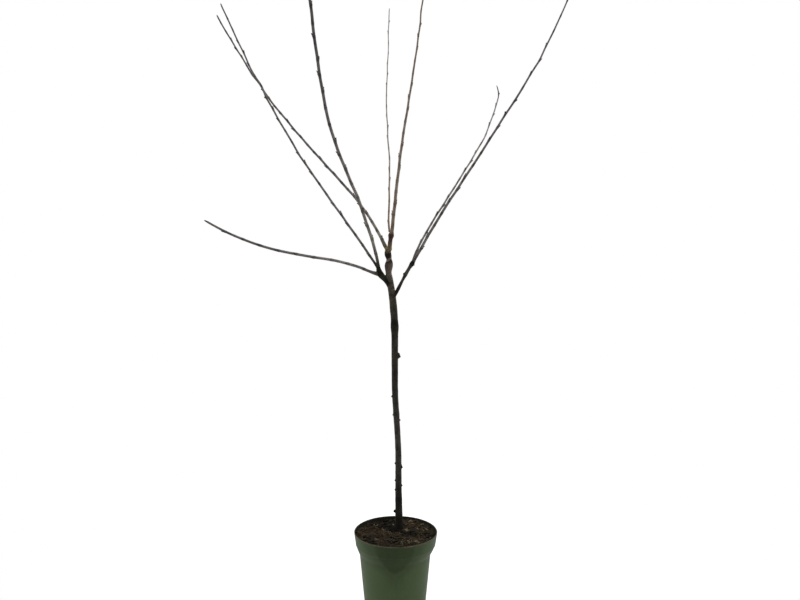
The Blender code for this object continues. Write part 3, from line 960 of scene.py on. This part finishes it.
def stub(foot, tip, width):
    """The stub of an old spur, which narrows to its tip."""
    axis = tip - foot
    return add(
        bpy.ops.mesh.primitive_cone_add, "stub", vertices=12, radius1=width * 0.72, radius2=width * 0.46,
        depth=axis.length, location=(foot + tip) / 2, rotation=axis.to_track_quat("Z", "Y").to_euler(),
    )


def bark_relief(place):
    """How far the old bark stands out here: long ridges, wrinkles round the limb, lumps and lenticels."""
    x, y, z = place
    ridges = noise.noise(Vector((x * 240, y * 240, z * 30)))
    wrinkles = noise.noise(Vector((x * 45, y * 45, z * 380)))
    lumps = noise.noise(Vector((x, y, z)) * 65)
    dash = noise.voronoi(Vector((x * 150, y * 150, z * 330)))[0][0]
    return (0.16 * ridges + 0.10 * wrinkles + 0.22 * lumps + 0.16 * clamp(1 - dash / 0.3)) * MM


def limb_finders(lines):
    """For each limb in the old skin: its line, a search tree, its points' shares and radii, its low end."""
    found = []
    for line in lines.values():
        limb = line["limb"]
        if limb.get("grows_on") == "leader_shoot":
            continue
        reach = 1.0 if "collar" not in limb else (limb["collar"] + 3) * MM / line["length"]
        count = max(6, round(reach * line["length"] / 0.002))
        shares = [reach * i / count for i in range(count + 1)]
        tree = kdtree.KDTree(count + 1)
        for i, share in enumerate(shares):
            tree.insert(at_share(line, share), i)
        tree.balance()
        radii = [radius_at(line, share) for share in shares]
        low = min(at_share(line, 0).z, at_share(line, reach).z) - 0.02
        found.append((line, tree, shares, radii, low))
    return found


def owner_of(place, finders):
    """The limb whose skin a point lies on, and how far along it: its line and its share."""
    best = None
    for line, tree, shares, radii, low in finders:
        if place.z >= low:
            _, i, far = tree.find(place)
            if best is None or far / radii[i] < best[0]:
                best = (far / radii[i], line, shares[i])
    return best[1:]


def grain_at(line, share, place):
    """A point's place in the bark's own frame, with the height of the limb's foot added along the grain."""
    along, aside, across = frame_at(line, share)
    out = place - at_share(line, share)
    height = line["points"][0].z + share * line["length"] + out.dot(along)
    return Vector((out.dot(aside), out.dot(across), height))


def old_tint(line, share, place):
    """The old skin's tint: dark at the stubs, and on the trunk a shaded left side and a slanting scar."""
    limb = line["limb"]
    far = share * line["length"] / MM
    if "bark" in limb:
        return tint_at(limb, far) * Vector(FOOT_TINTS[limb["bark"]])
    near = max((bell((place - tip).length / width) for _, tip, width in line["stubs"]), default=0.0)
    dark = 1 - SPUR_DARK * near
    if limb is not TRUNK:
        return tint_at(limb, far) * dark
    aside = (place.x - at_share(line, share).x) / radius_at(line, share)
    slant = bell((far - SCAR_AT) / SCAR_REACH, SCAR_SLANT * aside)
    upper = clamp((far - SHADED[0]) / 20) * clamp((SHADED[1] - far) / 8)
    return tint_at(limb, far + slant) * (1 + SIDE_SHADE * aside * upper) * dark


def make_trunk(lines, finish):
    """Trunk, boughs and the feet of the shoots, grown into one skin."""
    raw = []
    for name, sides, swell in CORES:
        line = lines[name]
        line["stubs"] = spur_ends(line)
        raw.append(limb_tube(line, line["length"], sides, swell))
        raw += [stub(*ends) for ends in line["stubs"]]
    for shoot in SHOOTS:
        if shoot["grows_on"] != "leader_shoot":
            raw.append(limb_tube(lines[shoot["name"]], shoot["collar"] * MM, 16, 1.35, 0.002))
    wood = join(raw, "trunk_and_boughs")
    grow = wood.modifiers.new("grow_together", "REMESH")
    grow.mode = "VOXEL"
    grow.voxel_size = VOXEL
    soften = wood.modifiers.new("soften", "SMOOTH")
    soften.factor = 0.5
    soften.iterations = 14
    apply_modifiers(wood)
    finders = limb_finders(lines)
    places = [(vertex.co.copy(), vertex.normal.copy()) for vertex in wood.data.vertices]
    owners = [owner_of(place, finders) for place, _ in places]
    store(wood, "grain", [grain_at(*owner, place) for owner, (place, _) in zip(owners, places)])
    store(wood, "tint", [old_tint(*owner, place) for owner, (place, _) in zip(owners, places)])
    for vertex, (place, normal) in zip(wood.data.vertices, places):
        vertex.co = place + normal * (bark_relief(place) + BARK_LIFT)
    smooth(wood)
    dress(wood, finish, "old_bark", "trunk", "left_bough", "right_bough")


def wrap(name, sides, rings, place):
    """A grid rolled into a closed skin. A point's turn and share give its spot, its grain and its tint."""
    skin = add(bpy.ops.mesh.primitive_grid_add, name, x_subdivisions=sides, y_subdivisions=rings, size=1)
    found = [place(vertex.co.x + 0.5, vertex.co.y + 0.5) for vertex in skin.data.vertices]
    for vertex, (spot, _, _) in zip(skin.data.vertices, found):
        vertex.co = spot
    store(skin, "grain", [grain for _, grain, _ in found])
    store(skin, "tint", [tint for _, _, tint in found])
    close_seams(skin)
    smooth(skin)
    return skin


def make_shoot(line, finish):
    """One shoot: a slender skin with a swelling and a cushion at each bud."""
    limb, length = line["limb"], line["length"]
    start = (limb["collar"] - 6) * MM
    rings = round((length - start) / SHOOT_RING)
    steps = [start + (length - start) * i / rings for i in range(rings + 1)]
    frames = [(at_share(line, step / length), *frame_at(line, step / length)) for step in steps]
    radii = [radius_at(line, step / length) for step in steps]
    small, strong = bud_places(line), strong_places(line)
    shades = []
    for step in steps:
        near = sum(bell((step - bud - 0.002) / 0.0045) for bud, _ in small)
        near += sum(bell((step - bud - 0.002) / 0.0070) for bud, _ in strong)
        shades.append(tint_at(limb, step / MM) * (1 - NODE_DARK[limb["bark"]] * near))
    cushions = []
    for distance, turn in small + strong:
        along, aside, across = frame_at(line, distance / length)
        side = outward(along, turn)
        cushions.append((distance, math.atan2(side.dot(across), side.dot(aside))))
    seed = sum(limb["tip"])
    proud = limb.get("bark_proud", BARK_PROUD)

    def place(turn_share, share):
        at = round(share * rings)
        centre, _, aside, across = frames[at]
        distance, radius = steps[at], radii[at]
        turn = math.tau * turn_share
        out = 0.0
        for bud, towards in cushions:
            gap = (distance - bud) / MM
            if abs(gap) < CUSHION_REACH:
                off = (turn - towards + math.pi) % math.tau - math.pi
                out += bell(gap / 3.6, 0.11 * radius)
                out += bell((gap - CUSHION_ABOVE) / 3.4, 0.0003 + 0.28 * radius) * bell(off / 0.75)
        rough = noise.noise(Vector((math.cos(turn) * 1.6, math.sin(turn) * 1.6, distance * 120 + seed)))
        out += 0.035 * radius * rough
        width = (radius + out) * (0.0 if at in (0, rings) else proud)
        push = aside * math.cos(turn) + across * math.sin(turn)
        grain = Vector((math.cos(turn) * radius, math.sin(turn) * radius, line["points"][0].z + distance))
        return centre + push * width, grain, shades[at]

    skin = wrap(limb["name"].replace("_shoot", "_bark"), SHOOT_SIDES, rings, place)
    dress(skin, finish, limb["bark"] + "_bark", limb["name"])


def model_bud():
    """One winter bud, 1 long and about 0.55 wide, with three rows of overlapping scales."""
    bud = add(bpy.ops.mesh.primitive_uv_sphere_add, "bud_model", segments=10, ring_count=9, radius=0.5)
    for vertex in bud.data.vertices:
        up = vertex.co.z + 0.5
        wide = 0.55 * math.sin(math.pi * clamp(up) ** 0.72) ** 0.8 if 0 < up < 1 else 0.0
        row = (up * 3.3) % 1.0
        turn = math.atan2(vertex.co.y, vertex.co.x)
        wide *= 1.0 + 0.10 * (0.5 - row) + 0.05 * math.cos(turn * 5 + math.floor(up * 3.3) * math.pi)
        vertex.co = around(turn) * wide / 2 + Vector((0, 0, up))
    return bud


def copy_of(model, matrix):
    made = bpy.data.objects.new(model.name, model.data.copy())
    made.matrix_world = matrix
    bpy.context.scene.collection.objects.link(made)
    return made


def pose(foot, direction, length, width):
    """The matrix that stands a model of height 1 on foot along a direction."""
    turn = direction.to_track_quat("Z", "Y").to_matrix().to_4x4()
    return Matrix.Translation(foot) @ turn @ Matrix.Diagonal((width, width, length, 1))


def make_buds(name, lines, age, size, finish):
    """The winter buds of the shoots of one age, each leaning out over its cushion, with one at each tip."""
    model = model_bud()
    rng = random.Random(7)
    made = []
    for shoot in SHOOTS:
        if shoot["bark"] != age:
            continue
        line = lines[shoot["name"]]
        spots = [(distance / line["length"], turn, None) for distance, turn in bud_places(line)]
        spots += [(share, turn, (proud, width)) for share, turn, proud, width in shoot["spurs"]]
        for share, turn, strong in spots:
            centre, radius = at_share(line, share), radius_at(line, share)
            along = direction_at(line, share)
            lean = math.radians(BUD_LEAN if strong is None else STRONG_BUD_LEAN)
            direction = along * math.cos(lean) + outward(along, turn) * math.sin(lean)
            if strong is None:
                proud = size * BUD_PROUD * (0.75 + 0.25 * radius / BUD_LIMB_RADIUS) * rng.uniform(0.85, 1.0)
                width = proud * 1.10
            else:
                proud, width = strong[0] * MM / math.sin(lean) * 0.85, strong[1] * MM * 1.75
            skin = radius / math.sin(lean)
            foot = centre + direction * skin * 0.55
            tall = (centre + direction * (skin + proud) - foot).length
            made.append(copy_of(model, pose(foot, direction, tall, width)))
        along, radius = direction_at(line, 1.0), radius_at(line, 1.0)
        foot = at_share(line, 1.0) - along * radius * 1.2
        made.append(copy_of(model, pose(foot, along, radius * 4.2, radius * 3.4)))
    bpy.data.objects.remove(model)
    buds = join(made, name)
    smooth(buds, 40)
    dress(buds, finish, "young_bark")


# Pot


def between(low, high, steps, bulge=0.0):
    """Points from low to high, each a radius and a height, with an outward bulge halfway."""
    (r0, z0), (r1, z1) = low, high
    rows = []
    for i in range(1, steps + 1):
        t = i / steps
        rows.append((r0 + (r1 - r0) * t + bulge * math.sin(math.pi * t), z0 + (z1 - z0) * t))
    return rows


def pot_stations():
    """The pot's section past its foot, as radius and height: up the outer side, over the lip and down."""
    base, body, foot, rim = BASE_DIA / 2, BODY_TOP_DIA / 2, BAND_FOOT_DIA / 2, RIM_DIA / 2
    flat = BASE_ROUND * 0.7
    rows = []
    for i in range(1, 6):
        turn = math.pi / 2 * i / 5
        rows.append((base - flat + (flat + EDGE_FLARE) * math.sin(turn), BASE_ROUND * (1 - math.cos(turn))))
    rows += between((base + EDGE_FLARE, BASE_ROUND), (body, BODY_TOP), 30)
    rows += between((body, BODY_TOP), (foot - 0.0006, BAND_FOOT - 0.0008), 10, 0.0007)
    rows += [(foot + 0.0002, BAND_FOOT)]
    rows += between((foot + 0.0002, BAND_FOOT), (rim - 0.0002, POT_HEIGHT - LIP_ROUND), 12)
    middle = rim - 0.0002 - LIP_ROUND
    for i in range(1, 9):
        turn = math.pi * i / 8
        height = POT_HEIGHT - LIP_ROUND + LIP_ROUND * math.sin(turn)
        rows.append((middle + LIP_ROUND * math.cos(turn), height))
    rows += between(rows[-1], (foot - WALL, BAND_FOOT), 10)
    rows += between((foot - WALL, BAND_FOOT), (body - WALL, BODY_TOP), 8)
    rows += between((body - WALL, BODY_TOP), (base - WALL + EDGE_FLARE, BASE_ROUND + WALL), 14)
    rows += [(base - WALL - BASE_ROUND * 0.6, WALL)]
    return rows


def wall_radius(z, inset):
    """The pot's outer radius at height z, less an inset."""
    for (low, r_low), (high, r_high) in zip(POT_SIDE, POT_SIDE[1:]):
        if z <= high:
            return r_low + (r_high - r_low) * (z - low) / (high - low) - inset
    return RIM_DIA / 2 - inset


def make_pot(finish):
    """The pot: a disc whose face is drawn up the outer side, over the lip and down to the floor."""
    foot = BASE_DIA / 2 - BASE_ROUND * 0.7
    circle = bpy.ops.mesh.primitive_circle_add
    pot = add(circle, "pot_shell", vertices=POT_SIDES, radius=foot, fill_type="NGON")
    edit(pot)
    bpy.ops.mesh.duplicate()
    now, height = foot, 0.0
    for radius, z in pot_stations():
        bpy.ops.mesh.extrude_region_move(TRANSFORM_OT_translate={"value": (0, 0, z - height)})
        scale = radius / now
        bpy.ops.transform.resize(value=(scale, scale, 1), center_override=(0, 0, z))
        now, height = radius, z
    leave_edit()
    close_seams(pot)
    for i in range(DRAIN_HOLES):
        turn = math.tau * (i + 0.5) / DRAIN_HOLES
        reach = BASE_DIA / 2 - DRAIN_DIA * 1.15
        place = (reach * math.cos(turn), reach * math.sin(turn), 0)
        cylinder = bpy.ops.mesh.primitive_cylinder_add
        drill = add(cylinder, "drill", vertices=32, radius=DRAIN_DIA / 2, depth=0.02, location=place)
        cut = pot.modifiers.new("drain_hole", "BOOLEAN")
        cut.operation = "DIFFERENCE"
        cut.object = drill
        apply_modifiers(pot)
        bpy.data.objects.remove(drill)
    inside = []
    for x, y, z in (vertex.co for vertex in pot.data.vertices):
        depth = wall_radius(z, 0) - math.hypot(x, y)
        inside.append(clamp((depth - 0.0010) / 0.0010) if z > 0.002 else 0.0)
    store(pot, "inside", inside)
    wobble(pot)
    smooth(pot, 40)
    dress(pot, finish, "pot_plastic", "pot")


def wobble(piece):
    """A thin pot is never quite round or upright: its wall strays by a millimetre, and the soil with it."""
    for vertex in piece.data.vertices:
        x, y, z = vertex.co
        turn = math.atan2(y, x)
        share = clamp(z / POT_HEIGHT) * clamp((math.hypot(x, y) - 0.05) / 0.04)
        out = share * (0.0005 * math.cos(2 * turn + 0.7) + 0.0003 * math.cos(3 * turn - 1.2))
        vertex.co.x += out * math.cos(turn) - 0.0011 + 0.0016 * clamp((z - 0.18) / 0.03)
        vertex.co.y += out * math.sin(turn)
        back = clamp((y + 0.02) / 0.12) * clamp((z - 0.19) / 0.04)
        vertex.co.y += 0.0012 * back
        vertex.co.z += 0.0018 * back


# Soil

SOIL_EDGE = wall_radius(SOIL_TOP, WALL + 0.0002)


def from_trunk(x, y):
    return math.hypot(x - TRUNK_FOOT[0] * MM, y - TRUNK_FOOT[1] * MM)


def soil_height(x, y):
    """The top of the soil: broad lumps, crumbs of three sizes, a hollow round the trunk and a low heap."""
    edge = clamp((SOIL_EDGE - math.hypot(x, y)) / 0.014)
    gap = from_trunk(x, y)
    lumps = noise.noise(Vector((x, y, 0.37)) / SOIL_GRAIN) * edge * clamp((gap - 0.018) / 0.010)
    place = Vector((x, y, 0.0))
    height = SOIL_TOP + SOIL_LUMP * lumps
    for size, tall in CRUMB_SIZES:
        far = noise.voronoi(place / size)[0][0]
        height += tall * (0.45 - far) * (0.35 + 0.65 * edge)
    height += 0.0006 * noise.noise(place * 700)
    height -= bell(gap / HOLLOW_REACH, HOLLOW_DEPTH)
    height += bell(math.hypot(x - HEAP[0], y - HEAP[1]) / HEAP_REACH, HEAP_RISE)
    return height


def soil_tint(x, y):
    """The soil's colour against its usual one: dark where it is wet and where shade is painted on it, pale
    or red where bark lies on it.
    """
    tint = Vector((1, 1, 1))
    for cx, cy, reach, colour in SOIL_PATCHES:
        wander = noise.noise(Vector((x * 60, y * 60, cx))) * 0.45
        far = math.hypot(x / MM - cx, y / MM - cy) / reach + wander
        tint = tint.lerp(Vector(colour), clamp(bell(far) * 1.15))
    return tint


def make_soil(finish):
    """The soil: a fine round sheet whose edge is drawn down the wall and closed over the pot's floor."""
    cells = SOIL_CELLS
    grid = bpy.ops.mesh.primitive_grid_add
    soil = add(grid, "soil_bed", x_subdivisions=cells, y_subdivisions=cells, size=2)
    tints = []
    for vertex in soil.data.vertices:
        u, v = vertex.co.x, vertex.co.y
        x = SOIL_EDGE * u * math.sqrt(1 - v * v / 2)
        y = SOIL_EDGE * v * math.sqrt(1 - u * u / 2)
        vertex.co = (x, y, soil_height(x, y))
        tints.append(soil_tint(x, y))
    store(soil, "tint", tints)
    inset = WALL + 0.0003
    rows = [(wall_radius(z, inset), z) for z in (0.222, BAND_FOOT, BODY_TOP, BASE_ROUND + WALL)]
    rows.append((BASE_DIA / 2 - inset - BASE_ROUND * 0.9, inset))
    edit(soil)
    bpy.ops.mesh.region_to_loop()
    for radius, z in rows:
        bpy.ops.mesh.extrude_region()
        leave_edit()
        for vertex in soil.data.vertices:
            if vertex.select:
                turn = math.atan2(vertex.co.y, vertex.co.x)
                vertex.co = (radius * math.cos(turn), radius * math.sin(turn), z)
        bpy.ops.object.mode_set(mode="EDIT")
    bpy.ops.mesh.edge_face_add()
    leave_edit()
    close_seams(soil)
    wobble(soil)
    smooth(soil, 60)
    dress(soil, finish, "potting_soil", "soil")


def random_spot(rng, reach=0.985):
    """A place on the soil, clear of the trunk."""
    while True:
        turn = rng.uniform(0, math.tau)
        far = SOIL_EDGE * reach * math.sqrt(rng.random())
        x, y = far * math.cos(turn), far * math.sin(turn)
        if from_trunk(x, y) > 0.016:
            return x, y


def patch_spots(rng, count, loose):
    """Spots for pale bits: most in patches, and a share of them anywhere."""
    spots = []
    while len(spots) < count:
        if rng.random() < loose:
            spots.append(random_spot(rng))
            continue
        x, y, reach = rng.choice(PALE_PATCHES)
        x, y = rng.gauss(x, reach * 0.8), rng.gauss(y, reach * 0.8)
        if math.hypot(x, y) < SOIL_EDGE * 0.97:
            spots.append((x, y))
    return spots


def split_wet_and_shaded(spots):
    """These spots in two lists: those where the soil is dark, being wet and with painted shade, and the
    rest.
    """
    shaded_wet, dry = [], []
    for spot in spots:
        side = shaded_wet if sum(soil_tint(*spot)) / 3 < WET_AND_SHADED_LEVEL else dry
        side.append(spot)
    return shaded_wet, dry


def model_chip(seed):
    """One flake of bark, 1 long: a block with split, uneven ends."""
    chip = add(bpy.ops.mesh.primitive_cube_add, "flake", size=1)
    chip.scale = (1.0, 0.46, 0.17)
    settle(chip)
    edit(chip)
    bpy.ops.mesh.subdivide(number_cuts=1)
    leave_edit()
    rng = random.Random(seed)
    for vertex in chip.data.vertices:
        vertex.co.y *= 1.0 - 0.45 * abs(vertex.co.x) ** 1.5 * 2
        vertex.co += Vector((rng.uniform(-0.09, 0.09), rng.uniform(-0.06, 0.06), rng.uniform(-0.03, 0.03)))
    return chip


def model_crumb(seed):
    """One rough crumb, about 1 across."""
    crumb = add(bpy.ops.mesh.primitive_ico_sphere_add, "crumb", subdivisions=1, radius=0.5)
    rng = random.Random(seed)
    for vertex in crumb.data.vertices:
        vertex.co *= rng.uniform(0.72, 1.12)
        vertex.co.z *= 0.8
    return crumb


def scatter(name, models, spots, sizes, tilt, seed, finish):
    """Copies of the models laid on the soil, inside the pot's wall, joined into one piece."""
    rng = random.Random(seed)
    made = []
    for x, y in spots:
        size = sizes[0] + (sizes[1] - sizes[0]) * rng.random() ** 2
        turn = Matrix.Rotation(rng.uniform(0, math.tau), 4, "Z")
        lean = Matrix.Rotation(rng.gauss(0, tilt), 4, "X") @ Matrix.Rotation(rng.gauss(0, tilt), 4, "Y")
        inwards = min(1.0, (SOIL_EDGE - size * 0.6) / math.hypot(x, y))
        x, y = x * inwards, y * inwards
        place = Matrix.Translation((x, y, soil_height(x, y) + size * 0.10))
        made.append(copy_of(rng.choice(models), place @ turn @ lean @ Matrix.Scale(size, 4)))
    piece = join(made, name)
    smooth(piece, 25)
    dress(piece, finish, "potting_soil")


def make_bits():
    """Bark flakes, crumbs and grit on the soil."""
    flakes = [model_chip(20 + i) for i in range(3)]
    crumbs = [model_crumb(40 + i) for i in range(3)]
    finishes = {name: mottled(name, *colours) for name, colours in BIT_COLOURS.items()}
    rng = random.Random(11)
    spots = [random_spot(rng) for _ in range(620)]
    spots = [spot for spot in spots if math.dist(spot, SMOOTH_SPOT) > 0.024 or rng.random() < 0.15]
    pale = patch_spots(rng, 130, 0.10)
    rough = [random_spot(rng) for _ in range(760)]
    rough = [spot for spot in rough if math.dist(spot, SMOOTH_SPOT) > 0.026]
    grit = patch_spots(rng, 110, 0.30)
    shaded_wet, dry = split_wet_and_shaded(spots)
    shaded_wet_rough, dry_rough = split_wet_and_shaded(rough)
    long, short = (0.004, 0.018), (0.0012, 0.0052)
    for name, models, places, sizes, tilt, seed, finish in (
        ("shaded_wet_bark_flakes", flakes, shaded_wet, long, 0.28, 1, "shaded_wet_flakes"),
        ("dark_bark_flakes", flakes, dry[::2], long, 0.28, 6, "dark_flakes"),
        ("brown_bark_flakes", flakes, dry[1::3], (0.003, 0.013), 0.26, 2, "brown_flakes"),
        ("weathered_bark_flakes", flakes, pale, (0.003, 0.0125), 0.22, 3, "weathered_flakes"),
        ("shaded_wet_crumbs", crumbs, shaded_wet_rough, short, 0.8, 7, "shaded_wet_flakes"),
        ("soil_crumbs", crumbs, dry_rough, short, 0.8, 4, "dark_flakes"),
        ("grey_grit", crumbs, grit, (0.0010, 0.0036), 0.8, 5, "grey_grit"),
    ):
        scatter(name, models, places, sizes, tilt, seed, finishes[finish])
    for model in flakes + crumbs:
        bpy.data.objects.remove(model)
    make_straws(finishes["dry_straw"])


def make_straws(finish):
    """Dry rootlets and straws on the soil, and a stouter one that stands up in an arch."""
    rng = random.Random(23)
    lines = []
    for _ in range(STRAWS):
        x, y = random_spot(rng, 0.90)
        heading = rng.uniform(0, math.tau)
        curl = rng.uniform(-22, 22)
        row = []
        for i in range(STRAW_POINTS):
            if math.hypot(x, y) < SOIL_EDGE * 0.97:
                lift = 0.0006 + 0.0014 * math.sin(math.pi * i / (STRAW_POINTS - 1)) * rng.random()
                row.append((x, y, soil_height(x, y) + lift))
            x += math.cos(heading) * STRAW_STEP
            y += math.sin(heading) * STRAW_STEP
            heading += curl * STRAW_STEP + rng.gauss(0, 0.10)
        if len(row) > 3:
            lines.append(row)
    rows = [[(place, 0.7 + 0.6 * rng.random()) for place in row] for row in lines]
    (x, y), (over, on) = ARCH_FOOT, ARCH_SPAN
    low, high = soil_height(x, y), soil_height(x + over, y + on)
    arch = []
    for i in range(15):
        t = i / 14
        z = low + (high - low) * t + ARCH_RISE * math.sin(math.pi * t) ** 0.8 - 0.001
        arch.append(((x + over * t, y + on * t, z), 1.7))
    straws = tubes("dry_straws", rows + [arch], STRAW_WIDTH, 1)
    smooth(straws)
    dress(straws, finish, "potting_soil")


# Set


def make_floor():
    """A pale floor, which looks white to the camera and casts little light of its own."""
    place = (0, 0.3, -0.0004)
    circle = bpy.ops.mesh.primitive_circle_add
    floor = add(circle, "floor", vertices=128, radius=1.1, fill_type="NGON", location=place)
    made, tree, shader = new_material("pale_floor")
    seen = tree.add("LightPath").outputs["Is Camera Ray"]
    tree.fill(shader, Base_Color=(0.80, 0.80, 0.79), Roughness=0.9)
    tree.fill(shader, Emission_Color=(1, 1, 1), Emission_Strength=tree.times(seen, 0.62))
    floor.data.materials.append(made)


def light_the_set():
    """White all round for the camera. For the object it is bright behind and above, and dim in front."""
    world = bpy.data.worlds.new("studio")
    bpy.context.scene.world = world
    world.use_nodes = True
    world.node_tree.nodes.clear()
    tree = Shading(world.node_tree)
    way = tree.parts(tree.add("TexCoord").outputs["Generated"])
    behind = tree.ramp(way["Y"], -0.70, 0.50, 0.33, 1.08)
    above = tree.ramp(way["Z"], -0.3, 0.7, 0.35, 1.0)
    cast = tree.add("Background", Color=(1, 1, 1), Strength=tree.times(behind, above)).outputs[0]
    seen = tree.add("Background", Color=(1, 1, 1), Strength=1.0).outputs[0]
    camera_ray = tree.add("LightPath").outputs["Is Camera Ray"]
    both = tree.add("MixShader", i0=camera_ray, i1=cast, i2=seen).outputs[0]
    tree.add("OutputWorld", Surface=both)


def place_camera():
    bpy.ops.object.camera_add(location=CAMERA_PLACE, rotation=(math.radians(90 - CAMERA_DOWN), 0, 0))
    camera = named("camera")
    camera.data.sensor_width = CAMERA_SENSOR
    camera.data.lens = CAMERA_LENS
    bpy.context.scene.camera = camera


def main():
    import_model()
    deselect_all()
    bark, dust = bark_group(), dust_group()
    finishes = {age: wood_bark(age, bark, dust) for age in BARKS}
    lines = {limb["name"]: limb_line(limb) for limb in (TRUNK, LEFT_BOUGH, RIGHT_BOUGH, *SHOOTS)}
    make_pot(pot_plastic(dust))
    make_soil(soil_matter())
    make_bits()
    make_trunk(lines, finishes["old"])
    for shoot in SHOOTS:
        make_shoot(lines[shoot["name"]], finishes[shoot["bark"]])
    dark_scales = bud_scales("bud_scales", (0.030, 0.018, 0.012), (0.075, 0.045, 0.030))
    pale_scales = bud_scales("young_bud_scales", (0.150, 0.095, 0.070), (0.270, 0.185, 0.140))
    make_buds("winter_buds", lines, "grey", 1.0, dark_scales)
    make_buds("young_buds", lines, "young", 0.8, pale_scales)
    make_floor()
    light_the_set()
    place_camera()
    bpy.context.scene.view_settings.view_transform = "Standard"


main()
